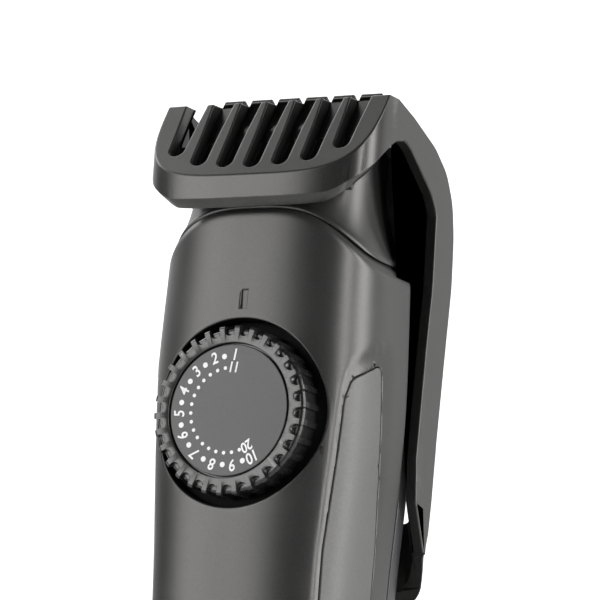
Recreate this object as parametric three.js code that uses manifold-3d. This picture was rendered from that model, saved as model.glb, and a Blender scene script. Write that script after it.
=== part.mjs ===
// Beard trimmer with a length dial and a sliding comb attachment.
// Millimetres. +Z runs up the handle, -Y is the front (dial side), +X is the user's right.
// The origin is the centre of the base, on the plane that the trimmer stands on.
import * as THREE from 'three';
import { mergeVertices } from 'three/addons/utils/BufferGeometryUtils.js';
import Module from 'manifold-3d';

const wasm = await Module();
wasm.setup();

// ---- Driving dimensions -------------------------------------------------------------------
const GAP = 0.3; // working gap between neighbouring pieces
const WALL = 2; // moulded wall of the body
const BASE_HEIGHT = 7; // base cap, below the two shells
const SEAM_Y = 6.4; // plane where the front shell meets the rear shell
const ARCH_TOP = 144.5; // highest point of the arched seam under the head
const ARCH_DROP = 9; // how far the arch falls at the flanks
const BODY_EXPONENT = 3.3; // roundness of the body's cross-section
const REAR_EXPONENT = 5; // the back of the section is squarer than the front
const SLICES = 8; // levels in the body's form
const FLANK = 19.1; // widest half-width of the body
const CHANNEL_X = 17.6; // half-width left between the channels for the comb's arms

// Half-width, front depth and rear depth of the body at stations up the handle.
const STATIONS = [0, 30, 60, 90, 120, 146];
const HALF_WIDTH = [16, 16.3, 16.7, 17.7, 19.1, 18.5];
const FRONT_DEPTH = [12.6, 13.4, 14.2, 14.8, 15, 14.2];
const REAR_DEPTH = [12.8, 13.4, 14, 14.3, 14.3, 13.8];

const DIAL_Z = 112; // height of the dial's axis
const KNOB_RADIUS = 13.5;
const KNOB_FACE_Y = -17.2;
const KNOB_BACK_Y = -12;
const KNOB_FLUTES = 30;
const LABEL_RADIUS = 10.4;
const RECESS_RADIUS = 14.9;
const RECESS_FLOOR_Y = -11.7;
const CUP_BACK_Y = -10.2;
const SHAFT_RADIUS = 2.5;

const PINION_TEETH = 10;
const RACK_PITCH = 1.5; // 10 teeth of 1.5 mm: 15 mm of lift for each turn of the dial
const PITCH_RADIUS = PINION_TEETH * RACK_PITCH / (2 * Math.PI);
const PINION_Y = [-9.8, -7.6];
const LIFT = 9; // travel of the comb carriage

const HEAD_BACK_Y = 6.4; // front of the squared back of the head at its foot

const COMB_HALF_WIDTH = 20.15;
const COMB_WALL = 1.9;
const COMB_FRONT_Y = -16.6;
const COMB_SHOULDER_Y = -6.2; // where the comb's round nose meets its straight flanks
const COMB_EXPONENT = 4;
const TOOTH_PITCH = 4.95;
const TOOTH_DEPTH = 2.7;
const LEAN = Math.atan(0.657); // lean of the toothed face from the vertical
const TIP = new THREE.Vector3(0, -7.6, 163.3); // middle of the row of comb tips

const BLADE_HALF_WIDTH = 15;
const BLADE_PITCH = 1.25;
const FIXED_BLADE_FACE = -3.2; // distance behind the comb's toothed face
const FIXED_BLADE_THICKNESS = 0.7;
const CUTTER_HALF_WIDTH = 11.9;
const CUTTER_THICKNESS = 0.6;
const CUTTER_STROKE = 1; // each side of the middle

const MOTOR_HALF_WIDTH = 10;
const MOTOR_Y = [-6.5, 7.5];
const MOTOR_Z = [101.5, 131.5];
const CRANK_Y = 0.5; // motor axis
const CRANK_THROW = 1;
const CRANK_PIN_RADIUS = 0.75;

const BATTERY_RADIUS = 7.1;
const BATTERY_Z = [20, 70];
const BOARD_Y = [-9.6, -8.4];
const BUTTON_Z = 68;
const BUTTON_RADIUS = 5.6;
const LIGHT_Z = 50;
const SCREW_PLACES = [[-11, 22], [11, 22], [-13.6, 130.5], [13.6, 130.5]]; // x and z

// ---- Materials ----------------------------------------------------------------------------
function finish(color, roughness, metalness) {
  return new THREE.MeshStandardMaterial({ color, roughness, metalness });
}
const painted = () => finish(0x4d4d4f, 0.42, 0.35);
const glossy = () => finish(0x2b2b2d, 0.22, 0.1);
const gripPlastic = () => finish(0x565658, 0.6, 0);
const blackPlastic = () => finish(0x141415, 0.5, 0);
const rubber = () => finish(0x101010, 0.9, 0);
const steel = () => finish(0xc9ccd0, 0.25, 1);
const brass = () => finish(0xb58a45, 0.35, 1);
const boardGreen = () => finish(0x1f5a36, 0.5, 0);
const clearLens = () => finish(0xbfe8c8, 0.2, 0);

// ---- Solids -------------------------------------------------------------------------------
// Turns a closed three.js geometry into a solid that can be cut and joined.
function solid(geometry) {
  geometry.deleteAttribute('normal');
  geometry.deleteAttribute('uv');
  const merged = mergeVertices(geometry, 1e-4);
  const vertProperties = new Float32Array(merged.attributes.position.array);
  const triVerts = new Uint32Array(merged.index.array);
  return new wasm.Manifold(new wasm.Mesh({ numProp: 3, vertProperties, triVerts }));
}

function geometryOf(body) {
  const mesh = body.getMesh();
  const geometry = new THREE.BufferGeometry();
  geometry.setAttribute('position', new THREE.BufferAttribute(mesh.vertProperties, 3));
  geometry.setIndex(new THREE.BufferAttribute(mesh.triVerts, 1));
  geometry.computeVertexNormals();
  return geometry;
}

function block([x0, x1], [y0, y1], [z0, z1]) {
  const geometry = new THREE.BoxGeometry(x1 - x0, y1 - y0, z1 - z0);
  return solid(geometry.translate((x0 + x1) / 2, (y0 + y1) / 2, (z0 + z1) / 2));
}

// A round bar along Y or Z, from one coordinate to the other.
function barY(radius, [y0, y1], x, z, sides = 24) {
  const geometry = new THREE.CylinderGeometry(radius, radius, y1 - y0, sides);
  return solid(geometry.translate(x, (y0 + y1) / 2, z));
}
function barZ(radius, [z0, z1], x, y, sides = 24) {
  const geometry = new THREE.CylinderGeometry(radius, radius, z1 - z0, sides);
  return solid(geometry.rotateX(Math.PI / 2).translate(x, y, (z0 + z1) / 2));
}

function extrude(outline, length, steps = 1) {
  const shape = new THREE.Shape(outline.map(([u, v]) => new THREE.Vector2(u, v)));
  return new THREE.ExtrudeGeometry(shape, { depth: length, steps, bevelEnabled: false });
}
// Prisms with an outline in plan (x, y), from the side (y, z) and from the front (x, z).
function planPrism(outline, [z0, z1]) {
  return solid(extrude(outline, z1 - z0).translate(0, 0, z0));
}
function sidePrism(outline, [x0, x1]) {
  const turn = new THREE.Matrix4().makeBasis(
    new THREE.Vector3(0, 1, 0), new THREE.Vector3(0, 0, 1), new THREE.Vector3(1, 0, 0));
  return solid(extrude(outline, x1 - x0).applyMatrix4(turn).translate(x0, 0, 0));
}
function frontPrism(outline, [y0, y1]) {
  const geometry = extrude(outline, y1 - y0).rotateX(Math.PI / 2);
  return solid(geometry.translate(0, y1, 0));
}

// The toothed face of the comb and the blades lie in one leaning frame: x across, v up the
// slope, w out of the face towards the front.
function leaningPrism(outline, [w0, w1]) {
  const up = new THREE.Vector3(0, Math.sin(LEAN), Math.cos(LEAN));
  const out = new THREE.Vector3(0, -Math.cos(LEAN), Math.sin(LEAN));
  const frame = new THREE.Matrix4().makeBasis(new THREE.Vector3(1, 0, 0), up, out);
  const geometry = extrude(outline, w1 - w0).translate(0, 0, w0).applyMatrix4(frame);
  return solid(geometry.translate(TIP.x, TIP.y, TIP.z));
}
function leaningPoint(v, w) {
  const y = TIP.y + v * Math.sin(LEAN) - w * Math.cos(LEAN);
  const z = TIP.z + v * Math.cos(LEAN) + w * Math.sin(LEAN);
  return [y, z];
}

function circle(radius, sides, x = 0, y = 0) {
  const points = [];
  for (let i = 0; i < sides; i++) {
    const turn = 2 * Math.PI * i / sides;
    points.push([x + radius * Math.cos(turn), y + radius * Math.sin(turn)]);
  }
  return points;
}
function superellipse(exponent, from, to, count) {
  const points = [];
  for (let i = 0; i <= count; i++) {
    const turn = from + (to - from) * i / count;
    const c = Math.cos(turn);
    const s = Math.sin(turn);
    points.push([
      Math.sign(c) * Math.abs(c) ** (2 / exponent),
      Math.sign(s) * Math.abs(s) ** (2 / exponent)]);
  }
  return points;
}

// ---- Body form ----------------------------------------------------------------------------
function along(values) {
  const curve = new THREE.CubicInterpolant(STATIONS, values, 1);
  return (z) => curve.evaluate(z)[0];
}
const halfWidth = along(HALF_WIDTH);
const frontDepth = along(FRONT_DEPTH);
const rearDepth = along(REAR_DEPTH);
const rearHalf = superellipse(REAR_EXPONENT, 0, Math.PI, 16);
const frontHalf = superellipse(BODY_EXPONENT, Math.PI, 2 * Math.PI, 16);
const ring = [...rearHalf.slice(0, -1), ...frontHalf.slice(0, -1)];

// The body's form between two heights, set in from the outer surface by a margin.
function bodyForm([low, high], steps, margin) {
  const geometry = extrude(ring, high - low, steps);
  const place = geometry.attributes.position;
  for (let i = 0; i < place.count; i++) {
    const z = low + place.getZ(i);
    const inset = typeof margin === 'function' ? margin(z) : margin;
    const depth = place.getY(i) > 0 ? rearDepth(z) : frontDepth(z);
    place.setXYZ(i, place.getX(i) * (halfWidth(z) - inset), place.getY(i) * (depth - inset), z);
  }
  return solid(geometry);
}

// A slab that follows the arched seam: everything between two offsets from the arch line.
function archSlab(below, above) {
  const line = [];
  for (let i = -12; i <= 12; i++) {
    const x = (FLANK + 1) * i / 12;
    line.push([x, ARCH_TOP - ARCH_DROP * Math.abs(x / FLANK) ** 3]);
  }
  const top = line.map(([x, z]) => [x, z + above]);
  const bottom = line.map(([x, z]) => [x, Number.isFinite(below) ? z + below : 0]);
  return frontPrism([...bottom, ...top.reverse()], [-30, 30]);
}

// The channels in the flanks behind the seam, where the comb's arms slide, grown by a margin.
function sideChannels(margin) {
  const m = margin;
  const edge = [
    [SEAM_Y - 0.2 - m, 170], [SEAM_Y - 0.2 - m, 104 - m], [8.2, 99.5 - m], [16, 84 - m],
    [30, 84 - m], [30, 170]];
  const right = sidePrism(edge, [CHANNEL_X - m, 30]);
  const left = sidePrism(edge, [-30, m - CHANNEL_X]);
  return right.add(left);
}

// Outline of the grip inlay from the side, grown by a margin.
function gripOutline(margin) {
  const m = margin;
  return [
    [-2.9 + m, 121.2 + m], [-9.4 - 0.6 * m, 117.6 + m], [-10.2 - m, 115.2 + 0.5 * m], [-10.8 - m, 92],
    [-9.6 - m, 50], [-7 - m, 26], [-3.5, 20 - m], [1 + m, 24 - m], [2.8 + m, 50], [0.4 + m, 92]];
}

const bore = (x, z, radius, y) => barY(radius, y, x, z, 20);

function frontShell() {
  const span = [BASE_HEIGHT + GAP, 150];
  const outer = bodyForm(span, SLICES, 0).intersect(archSlab(-Infinity, 0));
  let shell = outer.subtract(bodyForm([0, 155], SLICES, WALL));
  const cup = barY(RECESS_RADIUS + 1.5, [-16, CUP_BACK_Y], 0, DIAL_Z, 48);
  shell = shell.add(cup.intersect(outer));
  for (const [x, z] of SCREW_PLACES) {
    shell = shell.add(barY(2.4, [-16, SEAM_Y - GAP], x, z, 16).intersect(outer));
  }
  shell = shell.add(block([-6.4, -5.5], [-11, PINION_Y[1]], [98, 126]));
  shell = shell.intersect(block([-30, 30], [-30, SEAM_Y - 0.2], [0, 150]));
  shell = shell.subtract(barY(RECESS_RADIUS, [-20, RECESS_FLOOR_Y], 0, DIAL_Z, 60));
  shell = shell.subtract(barY(SHAFT_RADIUS + GAP, [-13, -5], 0, DIAL_Z, 24));
  shell = shell.subtract(barY(BUTTON_RADIUS + GAP, [-20, -8], 0, BUTTON_Z, 32));
  shell = shell.subtract(barY(1.5, [-20, -8], 0, LIGHT_Z, 20));
  shell = shell.subtract(block([-0.45, 0.45], [-20, -14.3], [128.5, 131.5]));
  for (const [x, z] of SCREW_PLACES) {
    shell = shell.subtract(bore(x, z, 1.3, [-2, 10]));
  }
  const skin = bodyForm([15, 130], 6, -1).subtract(bodyForm([15, 130], 6, 1.2));
  const flanks = sidePrism(gripOutline(0.9), [-30, 30]).intersect(skin);
  return shell.subtract(flanks);
}

function sideGrip(side) {
  const plate = bodyForm([15, 130], 6, 0.1).subtract(bodyForm([15, 130], 6, 0.9));
  const span = side > 0 ? [5, 30] : [-30, -5];
  return plate.intersect(sidePrism(gripOutline(0), span));
}

function rearShell() {
  const span = [BASE_HEIGHT + GAP, 150];
  const outer = bodyForm(span, SLICES, 0).intersect(archSlab(-Infinity, 0));
  const hollow = bodyForm([0, 155], SLICES, WALL).subtract(sideChannels(WALL));
  let shell = outer.subtract(sideChannels(0)).subtract(hollow);
  for (const [x, z] of SCREW_PLACES) {
    shell = shell.add(barY(3.2, [SEAM_Y, 16], x, z, 20).intersect(outer));
  }
  shell = shell.intersect(block([-30, 30], [SEAM_Y + 0.1, 30], [0, 150]));
  for (const [x, z] of SCREW_PLACES) {
    shell = shell.subtract(bore(x, z, 1.3, [0, 12]));
    shell = shell.subtract(bore(x, z, 2.3, [9.5, 20]));
  }
  const slot = block([-5 - 2 * GAP, 5 + 2 * GAP], [5, 20], [85.6, 90 + LIFT + 2 * GAP]);
  return shell.subtract(slot);
}

function baseCap() {
  const rounding = (z) => 1.6 * Math.max(0, 1 - z / 2.4) ** 2;
  const cap = bodyForm([0, BASE_HEIGHT], 4, rounding);
  const plug = bodyForm([2, 11], 2, WALL + GAP).subtract(bodyForm([BASE_HEIGHT - 2, 12], 1, WALL + 1.6));
  const pocket = block([-6.8, 6.8], [-4.8, 4.8], [-1, 20]);
  return cap.add(plug).subtract(pocket);
}

// ---- Head ---------------------------------------------------------------------------------
// The squared back of the head, flush with the side channels. It rises behind the blades and
// slopes down to the rear.
function headBack() {
  const side = [
    [HEAD_BACK_Y, 132], [13.4, 132], [13.4, 142], [12.6, 148.5], [10, 152.8], [5, 156.6],
    [2, 157.8], [2, 148], [4, 142], [HEAD_BACK_Y, 138]];
  const form = bodyForm([130, 160], 2, 0.3).intersect(sidePrism(side, [-25, 25]));
  const width = block([-CHANNEL_X, CHANNEL_X], [0, 20], [130, 160]);
  return form.intersect(archSlab(GAP, 30)).intersect(width);
}

function headHousing() {
  const neckRing = ring.map(([x, y]) => [15.7 * x, (y > 0 ? 10.6 : 11.4) * y]);
  const profile = [
    [-12, 135], [-12, 150.6], leaningPoint(-13.2, -5.6), leaningPoint(-3.2, -5.6),
    leaningPoint(-1.6, -7.2), [4.5, 154.5], [8.6, 149], [11, 142], [11, 135]];
  let head = planPrism(neckRing, [135, 165]).intersect(sidePrism(profile, [-20, 20]));
  const flange = bodyForm([130, 152], 2, 0.9).intersect(archSlab(GAP, 2.2)).subtract(sideChannels(0));
  head = head.add(flange).add(headBack());
  const ends = leaningPrism([[-16, -14.4], [16, -14.4], [15.7, -3.4], [-15.7, -3.4]], [-6.4, -3.5 - GAP]);
  const seat = leaningPrism([[-12.4, -30], [12.4, -30], [12.4, 5], [-12.4, 5]], [-5.6, 5]);
  const plate = leaningPrism([[-15.4, -14.6], [15.4, -14.6], [15.4, 5], [-15.4, 5]], [-4.2, 5]);
  head = head.add(ends.intersect(planPrism(neckRing, [135, 165])));
  head = head.subtract(seat.intersect(block([-20, 20], [-30, 30], [149.5, 170]))).subtract(plate);
  const well = block([-8, 8], [-5.5, 6.5], [130, 151.5]);
  const window = block([-5.6, 5.6], [-9, 0.5], [146, 155.6]);
  head = head.subtract(well).subtract(window);
  for (const x of [-13.8, 13.8]) {
    head = head.subtract(leaningPrism(circle(1.1, 16, x, -11.5), [-9.5, 0]));
  }
  return head;
}

// A blade outline with a row of teeth along its upper edge.
function bladeOutline(reach, foot, toothLength) {
  const teeth = Math.round(2 * reach / BLADE_PITCH);
  const points = [[reach, foot]];
  for (let i = teeth - 1; i >= 0; i--) {
    const middle = (i - (teeth - 1) / 2) * BLADE_PITCH;
    points.push([middle + 0.52, -toothLength], [middle + 0.2, 0], [middle - 0.2, 0]);
    points.push([middle - 0.52, -toothLength]);
  }
  points.push([-reach, foot]);
  return points;
}

function fixedBlade() {
  const outline = bladeOutline(BLADE_HALF_WIDTH, -14, 2.4);
  let blade = leaningPrism(outline, [FIXED_BLADE_FACE - FIXED_BLADE_THICKNESS, FIXED_BLADE_FACE]);
  for (const x of [-13.8, 13.8]) {
    blade = blade.subtract(leaningPrism(circle(0.8 + GAP, 16, x, -11.5), [-6, 0]));
  }
  return blade;
}

function bladeScrew(x) {
  const head = leaningPrism(circle(1.05, 16, x, -11.5), [FIXED_BLADE_FACE + 0.05, FIXED_BLADE_FACE + 0.25]);
  const shank = leaningPrism(circle(0.75, 12, x, -11.5), [-9, FIXED_BLADE_FACE + 0.1]);
  return head.add(shank);
}

function movingBlade() {
  const back = FIXED_BLADE_FACE - FIXED_BLADE_THICKNESS - GAP;
  const outline = bladeOutline(CUTTER_HALF_WIDTH - 0.6, -9.5, 2).map(([x, v]) => [x, v - 0.7]);
  return leaningPrism(outline, [back - CUTTER_THICKNESS, back]);
}

// The fork hangs from the cutter and straddles the motor's crank pin.
function cutterYoke() {
  const gapHalf = CRANK_PIN_RADIUS + CRANK_THROW + CUTTER_STROKE + GAP;
  const back = FIXED_BLADE_FACE - FIXED_BLADE_THICKNESS - CUTTER_THICKNESS - 2 * GAP;
  const fork = block([-4.4, 4.4], [-3.2, 2.2], [143.6, 148.2])
    .subtract(block([-gapHalf, gapHalf], [-5, 5], [143, 147]));
  const post = [
    [-3.2, 147], [-0.6, 147], [-0.6, 151.6], leaningPoint(-5.5, back - 1.3), leaningPoint(-5.5, back),
    leaningPoint(-10, back), [-3.6, 149.4]];
  return fork.add(sidePrism(post, [-2.4, 2.4]));
}

function bladeSpring() {
  return block([-7.2, 7.2], [2.2 + GAP, 2.9], [145, 151]);
}

// ---- Comb ---------------------------------------------------------------------------------
function combPlan(margin, rear) {
  const nose = superellipse(COMB_EXPONENT, Math.PI, 2 * Math.PI, 28);
  const reach = COMB_HALF_WIDTH - margin;
  const depth = COMB_SHOULDER_Y - COMB_FRONT_Y - margin;
  const points = nose.map(([x, y]) => [reach * x, COMB_SHOULDER_Y + depth * y]);
  points.push([reach, rear], [-reach, rear]);
  return points;
}

// The rear stirrup in plan: a U with rounded corners.
function stirrupPlan(margin) {
  const reach = COMB_HALF_WIDTH - margin;
  const rear = 16.9 - margin;
  const corner = 5 - margin;
  const points = [[-reach, 5], [reach, 5]];
  for (let i = 0; i <= 6; i++) {
    const turn = Math.PI / 2 * i / 6;
    points.push([reach - corner + corner * Math.cos(turn), rear - corner + corner * Math.sin(turn)]);
  }
  for (let i = 6; i >= 0; i--) {
    const turn = Math.PI / 2 * i / 6;
    points.push([corner - reach - corner * Math.cos(turn), rear - corner + corner * Math.sin(turn)]);
  }
  return points;
}

// Outline of a slot between two teeth: wide at the tips, round at the foot.
function slotOutline(x, foot) {
  const half = 1.33;
  const points = [[x + 1.9, 3], [x - 1.9, 3], [x - 1.85, 0], [x - 1.45, -7]];
  for (let i = 0; i <= 6; i++) {
    const turn = Math.PI + Math.PI * i / 6;
    points.push([x + half * Math.cos(turn), foot + half + half * Math.sin(turn)]);
  }
  points.push([x + 1.45, -7], [x + 1.85, 0]);
  return points;
}

function combAttachment() {
  const side = [
    [-7.9, 163.5], [-4.7, 163.5], [0.8, 161.8], [8.8, 158.6], [13.3, 155.4], [16, 150.9], [17.1, 145.4],
    [17.4, 137.4], [16.3, 124.2], [15.4, 112.4], [14.9, 102.3], [14.4, 97], [13.4, 93], [12.2, 95.4],
    [9.3, 101.4], [8.6, 108.4], [9.7, 125.9], [10.6, 136], [10.4, 148.3], [8.4, 150.8], [4.5, 153.5],
    [0.6, 156.2], [-2.1, 157.4], [-4.3, 157], [-6.4, 155.7], [-9.3, 153.4], [-13.1, 150.1],
    [-14.9, 148], [-15.9, 146.6], [-17.5, 145.6], [-17.5, 148.2]];
  const outer = planPrism(combPlan(0, 17.5), [80, 170]).intersect(sidePrism(side, [-25, 25]));
  const roof = [
    leaningPoint(8, -TOOTH_DEPTH), leaningPoint(-26, -TOOTH_DEPTH), [-30, 60], [40, 60], [40, 180]];
  const room = planPrism(combPlan(COMB_WALL, 40), [60, 180]).intersect(sidePrism(roof, [-30, 30]));
  let comb = outer.subtract(room);
  const band = [
    [9.3, 101.4], [12.5, 94.8], [15, 88.4], [17.5, 85], [17.5, 96.5], [15.4, 98.2], [14.9, 102.3]];
  const hoop = planPrism(stirrupPlan(0), [80, 110]).subtract(planPrism(stirrupPlan(COMB_WALL), [79, 111]));
  comb = comb.add(hoop.intersect(sidePrism(band, [-25, 25])));
  const feet = [-14.7, -14.4, -13.8, -11.4];
  for (let i = -3; i <= 3; i++) {
    comb = comb.subtract(leaningPrism(slotOutline(i * TOOTH_PITCH, feet[Math.abs(i)]), [-7, 5]));
  }
  return comb.subtract(block([-5 - GAP, 5 + GAP], [14, 15.8 + GAP], [80, 90 + GAP]));
}

// ---- Dial and comb lift -------------------------------------------------------------------
function dialKnob() {
  const outline = [];
  const step = 2 * Math.PI / KNOB_FLUTES;
  const places = [[-0.36, 0], [-0.2, 1], [0.2, 1], [0.36, 0]];
  for (let i = 0; i < KNOB_FLUTES; i++) {
    for (const [share, depth] of places) {
      const turn = (i + share) * step;
      const radius = KNOB_RADIUS - depth;
      outline.push([radius * Math.cos(turn), DIAL_Z + radius * Math.sin(turn)]);
    }
  }
  let knob = frontPrism(outline, [KNOB_FACE_Y, KNOB_BACK_Y]);
  knob = knob.subtract(barY(LABEL_RADIUS + GAP, [-20, -16.2], 0, DIAL_Z, 48));
  const groove = barY(5, [-12.9, -10], 0, DIAL_Z, 32).subtract(barY(3.2, [-14, -9], 0, DIAL_Z, 32));
  const shaft = barY(SHAFT_RADIUS, [-14, PINION_Y[0] - GAP], 0, DIAL_Z, 24);
  const stub = barY(0.9, [-12, PINION_Y[1] + 0.3], 0, DIAL_Z, 16);
  return knob.subtract(groove).add(shaft).add(stub);
}

function dialPinion() {
  const outline = [];
  const step = 2 * Math.PI / PINION_TEETH;
  const rim = [[-0.28, -0.6], [-0.14, 0.4], [0.14, 0.4], [0.28, -0.6]];
  for (let i = 0; i < PINION_TEETH; i++) {
    for (const [share, rise] of rim) {
      const turn = (i + share) * step;
      const radius = PITCH_RADIUS + rise;
      outline.push([radius * Math.cos(turn), DIAL_Z + radius * Math.sin(turn)]);
    }
  }
  return frontPrism(outline, PINION_Y).subtract(barY(0.9 + GAP, [-12, -5], 0, DIAL_Z, 16));
}

function combCarriage() {
  const back = -PITCH_RADIUS - 0.75;
  const outline = [[back, 86], [-5.2, 86], [-5.2, 116]];
  // Gaps in the rack face the pinion's teeth; a tooth of the pinion points straight at it.
  for (let i = 2; i >= -9; i--) {
    const z = DIAL_Z + (i + 0.5) * RACK_PITCH;
    outline.push([back, z + 0.48], [back + 1.05, z + 0.2], [back + 1.05, z - 0.2], [back, z - 0.48]);
  }
  const rack = frontPrism(outline.reverse(), PINION_Y);
  const tongue = block([-5.2, 5], [PINION_Y[0], 14.2], [86, 90]);
  const hook = block([-5, 5], [13, 15.8], [86, 90]);
  return rack.add(tongue).add(hook);
}

// ---- Drive, electrics and frame -----------------------------------------------------------
function motorCan() {
  const outline = superellipse(4, 0, 2 * Math.PI, 28).slice(0, -1);
  const depth = (MOTOR_Y[1] - MOTOR_Y[0]) / 2;
  const can = planPrism(outline.map(([x, y]) => [MOTOR_HALF_WIDTH * x, CRANK_Y + depth * y]), MOTOR_Z);
  return can.subtract(barZ(1.3, [MOTOR_Z[1] - 6, MOTOR_Z[1] + 2], 0, CRANK_Y, 16));
}

function motorEccentric() {
  const shaft = barZ(1, [MOTOR_Z[1] - 5.5, 138], 0, CRANK_Y, 16);
  const disc = barZ(3.4, [135.4, 139.4], 0, CRANK_Y, 28);
  const pin = barZ(CRANK_PIN_RADIUS, [139, 145.8], 0, CRANK_Y - CRANK_THROW, 14);
  return shaft.add(disc).add(pin);
}

function chassis() {
  let frame = block([-10.2, 10.2], [8, 9.2], [14, 133]);
  frame = frame.subtract(block([-7.5, 7.5], [5, 12], [84.5, 101]));
  for (const z of [[15.5, 17], [73, 74.5]]) {
    frame = frame.add(block([-8, 8], [-8, 8.5], z));
  }
  for (const [x, z] of SCREW_PLACES) {
    frame = frame.subtract(barY(4, [0, 20], x, z, 20));
  }
  return frame;
}

function motorBracket() {
  const plate = block([-10.6, 10.6], [-6.5, 7.6], [MOTOR_Z[1] + GAP, MOTOR_Z[1] + 1.5]);
  const hole = barZ(4, [MOTOR_Z[1] - 1, MOTOR_Z[1] + 3], 0, CRANK_Y, 24);
  return plate.subtract(hole);
}

function housingScrew([x, z]) {
  const head = barY(2, [9.8, 11.2], x, z, 20).subtract(block([x - 1.4, x + 1.4], [10.7, 12], [z - 0.3, z + 0.3]));
  return head.add(barY(1, [-1.6, 10], x, z, 12));
}

function circuitBoard() {
  return block([-8, 8], BOARD_Y, [18, 82]);
}

function powerButton() {
  const face = frontDepth(BUTTON_Z) + 0.5;
  const cap = barY(BUTTON_RADIUS, [-face, -12.6], 0, BUTTON_Z, 32);
  return cap.add(barY(1.6, [-13, -11.5], 0, BUTTON_Z, 16));
}

function buttonSeal() {
  const ringOuter = barY(7, [-11.8, -11.2], 0, BUTTON_Z, 32);
  return ringOuter.subtract(barY(2.4, [-13, -9], 0, BUTTON_Z, 20));
}

function chargingSocket() {
  const shellBlock = block([-6.8 + GAP, 6.8 - GAP], [-4.8 + GAP, 4.8 - GAP], [0.4, 13.5]);
  const mouth = planPrism(superellipse(3, 0, 2 * Math.PI, 28).slice(0, -1).map(([x, y]) => [5.2 * x, 3.3 * y]), [-1, 11]);
  let socket = shellBlock.subtract(mouth);
  for (const x of [-2.4, 2.4]) {
    socket = socket.subtract(barZ(0.8 + GAP, [5, 15], x, 0, 16));
  }
  return socket;
}

// ---- Assembly -----------------------------------------------------------------------------
const group = new THREE.Group();
function piece(name, body, material) {
  const mesh = new THREE.Mesh(geometryOf(body), material);
  mesh.name = name;
  group.add(mesh);
}

piece('front_shell', frontShell(), painted());
piece('rear_shell', rearShell(), blackPlastic());
piece('base_cap', baseCap(), blackPlastic());
piece('side_grip_left', sideGrip(-1), gripPlastic());
piece('side_grip_right', sideGrip(1), gripPlastic());
piece('head_housing', headHousing(), painted());
piece('fixed_blade', fixedBlade(), steel());
piece('blade_screw_left', bladeScrew(-13.8), steel());
piece('blade_screw_right', bladeScrew(13.8), steel());
piece('moving_blade', movingBlade(), steel());
piece('cutter_yoke', cutterYoke(), blackPlastic());
piece('blade_spring', bladeSpring(), steel());
piece('comb_attachment', combAttachment(), glossy());
piece('comb_carriage', combCarriage(), blackPlastic());
piece('dial_knob', dialKnob(), painted());
piece('dial_label', barY(LABEL_RADIUS, [-17, -16.5], 0, DIAL_Z, 48), gripPlastic());
piece('dial_pinion', dialPinion(), blackPlastic());
const sealRing = barY(4.7, [-12.6, -12], 0, DIAL_Z, 28).subtract(barY(3.5, [-14, -10], 0, DIAL_Z, 28));
piece('dial_seal', sealRing, rubber());
piece('detent_spring', block([3.4, 3.8], [-9.6, -8], [103, 121]), steel());
piece('motor', motorCan(), steel());
piece('motor_bracket', motorBracket(), blackPlastic());
piece('motor_eccentric', motorEccentric(), steel());
piece('battery', barZ(BATTERY_RADIUS, BATTERY_Z, 0, 0, 28), gripPlastic());
piece('battery_contact_bottom', barZ(4, [17.4, 19.6], 0, 0, 20), brass());
piece('battery_contact_top', barZ(4, [70.4, 72.6], 0, 0, 20), brass());
piece('circuit_board', circuitBoard(), boardGreen());
piece('tact_switch', block([-3, 3], [-10.4, BOARD_Y[0] - GAP], [BUTTON_Z - 3, BUTTON_Z + 3]), blackPlastic());
piece('charge_led', block([-1, 1], [-10.8, BOARD_Y[0] - GAP], [LIGHT_Z - 1, LIGHT_Z + 1]), clearLens());
piece('power_button', powerButton(), glossy());
piece('button_seal', buttonSeal(), rubber());
piece('charge_light', barY(1.2, [-14.1, -11.2], 0, LIGHT_Z, 20), clearLens());
piece('charging_socket', chargingSocket(), blackPlastic());
piece('socket_pin_left', barZ(0.8, [6, 15.2], -2.4, 0, 12), brass());
piece('socket_pin_right', barZ(0.8, [6, 15.2], 2.4, 0, 12), brass());
piece('chassis', chassis(), blackPlastic());
SCREW_PLACES.forEach((place, i) => piece(`housing_screw_${i + 1}`, housingScrew(place), steel()));

export default group;
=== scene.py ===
import math

import bpy
import numpy as np
from mathutils import Matrix, Vector


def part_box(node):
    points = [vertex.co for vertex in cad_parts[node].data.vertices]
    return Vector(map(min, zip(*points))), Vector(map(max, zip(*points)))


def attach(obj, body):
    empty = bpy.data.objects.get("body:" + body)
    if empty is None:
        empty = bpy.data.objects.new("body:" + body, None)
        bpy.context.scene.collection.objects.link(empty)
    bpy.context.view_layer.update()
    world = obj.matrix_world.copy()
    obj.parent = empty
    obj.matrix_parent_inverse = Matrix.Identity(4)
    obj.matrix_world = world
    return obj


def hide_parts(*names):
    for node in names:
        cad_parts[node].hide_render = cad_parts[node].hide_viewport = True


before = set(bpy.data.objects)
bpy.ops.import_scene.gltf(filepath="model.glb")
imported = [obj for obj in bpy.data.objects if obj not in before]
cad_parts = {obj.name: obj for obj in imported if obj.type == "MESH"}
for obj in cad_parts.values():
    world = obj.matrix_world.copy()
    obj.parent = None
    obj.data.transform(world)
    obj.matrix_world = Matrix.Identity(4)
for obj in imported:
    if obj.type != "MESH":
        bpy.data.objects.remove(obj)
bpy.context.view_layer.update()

# ---- Camera -------------------------------------------------------------------------------
# A long lens from the right, slightly below the dial, leaning a little, so that the trimmer
# stands tilted in the view. Aimed by where the dial's centre sits in the picture.
MM = 0.001


def mm_box(node):
    low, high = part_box(node)
    return low / MM, high / MM


knob_low, knob_high = mm_box("dial_knob")
DIAL = Vector((0, knob_low.y, (knob_low.z + knob_high.z) / 2))
VIEW_AZIMUTH = math.radians(28.905)
VIEW_ELEVATION = math.radians(-10.373)
VIEW_ROLL = math.radians(3.818)
VIEW_DISTANCE = 691.6
DIAL_LEFT_OF_CENTRE = 11.21
DIAL_BELOW_CENTRE = 17.05

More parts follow.
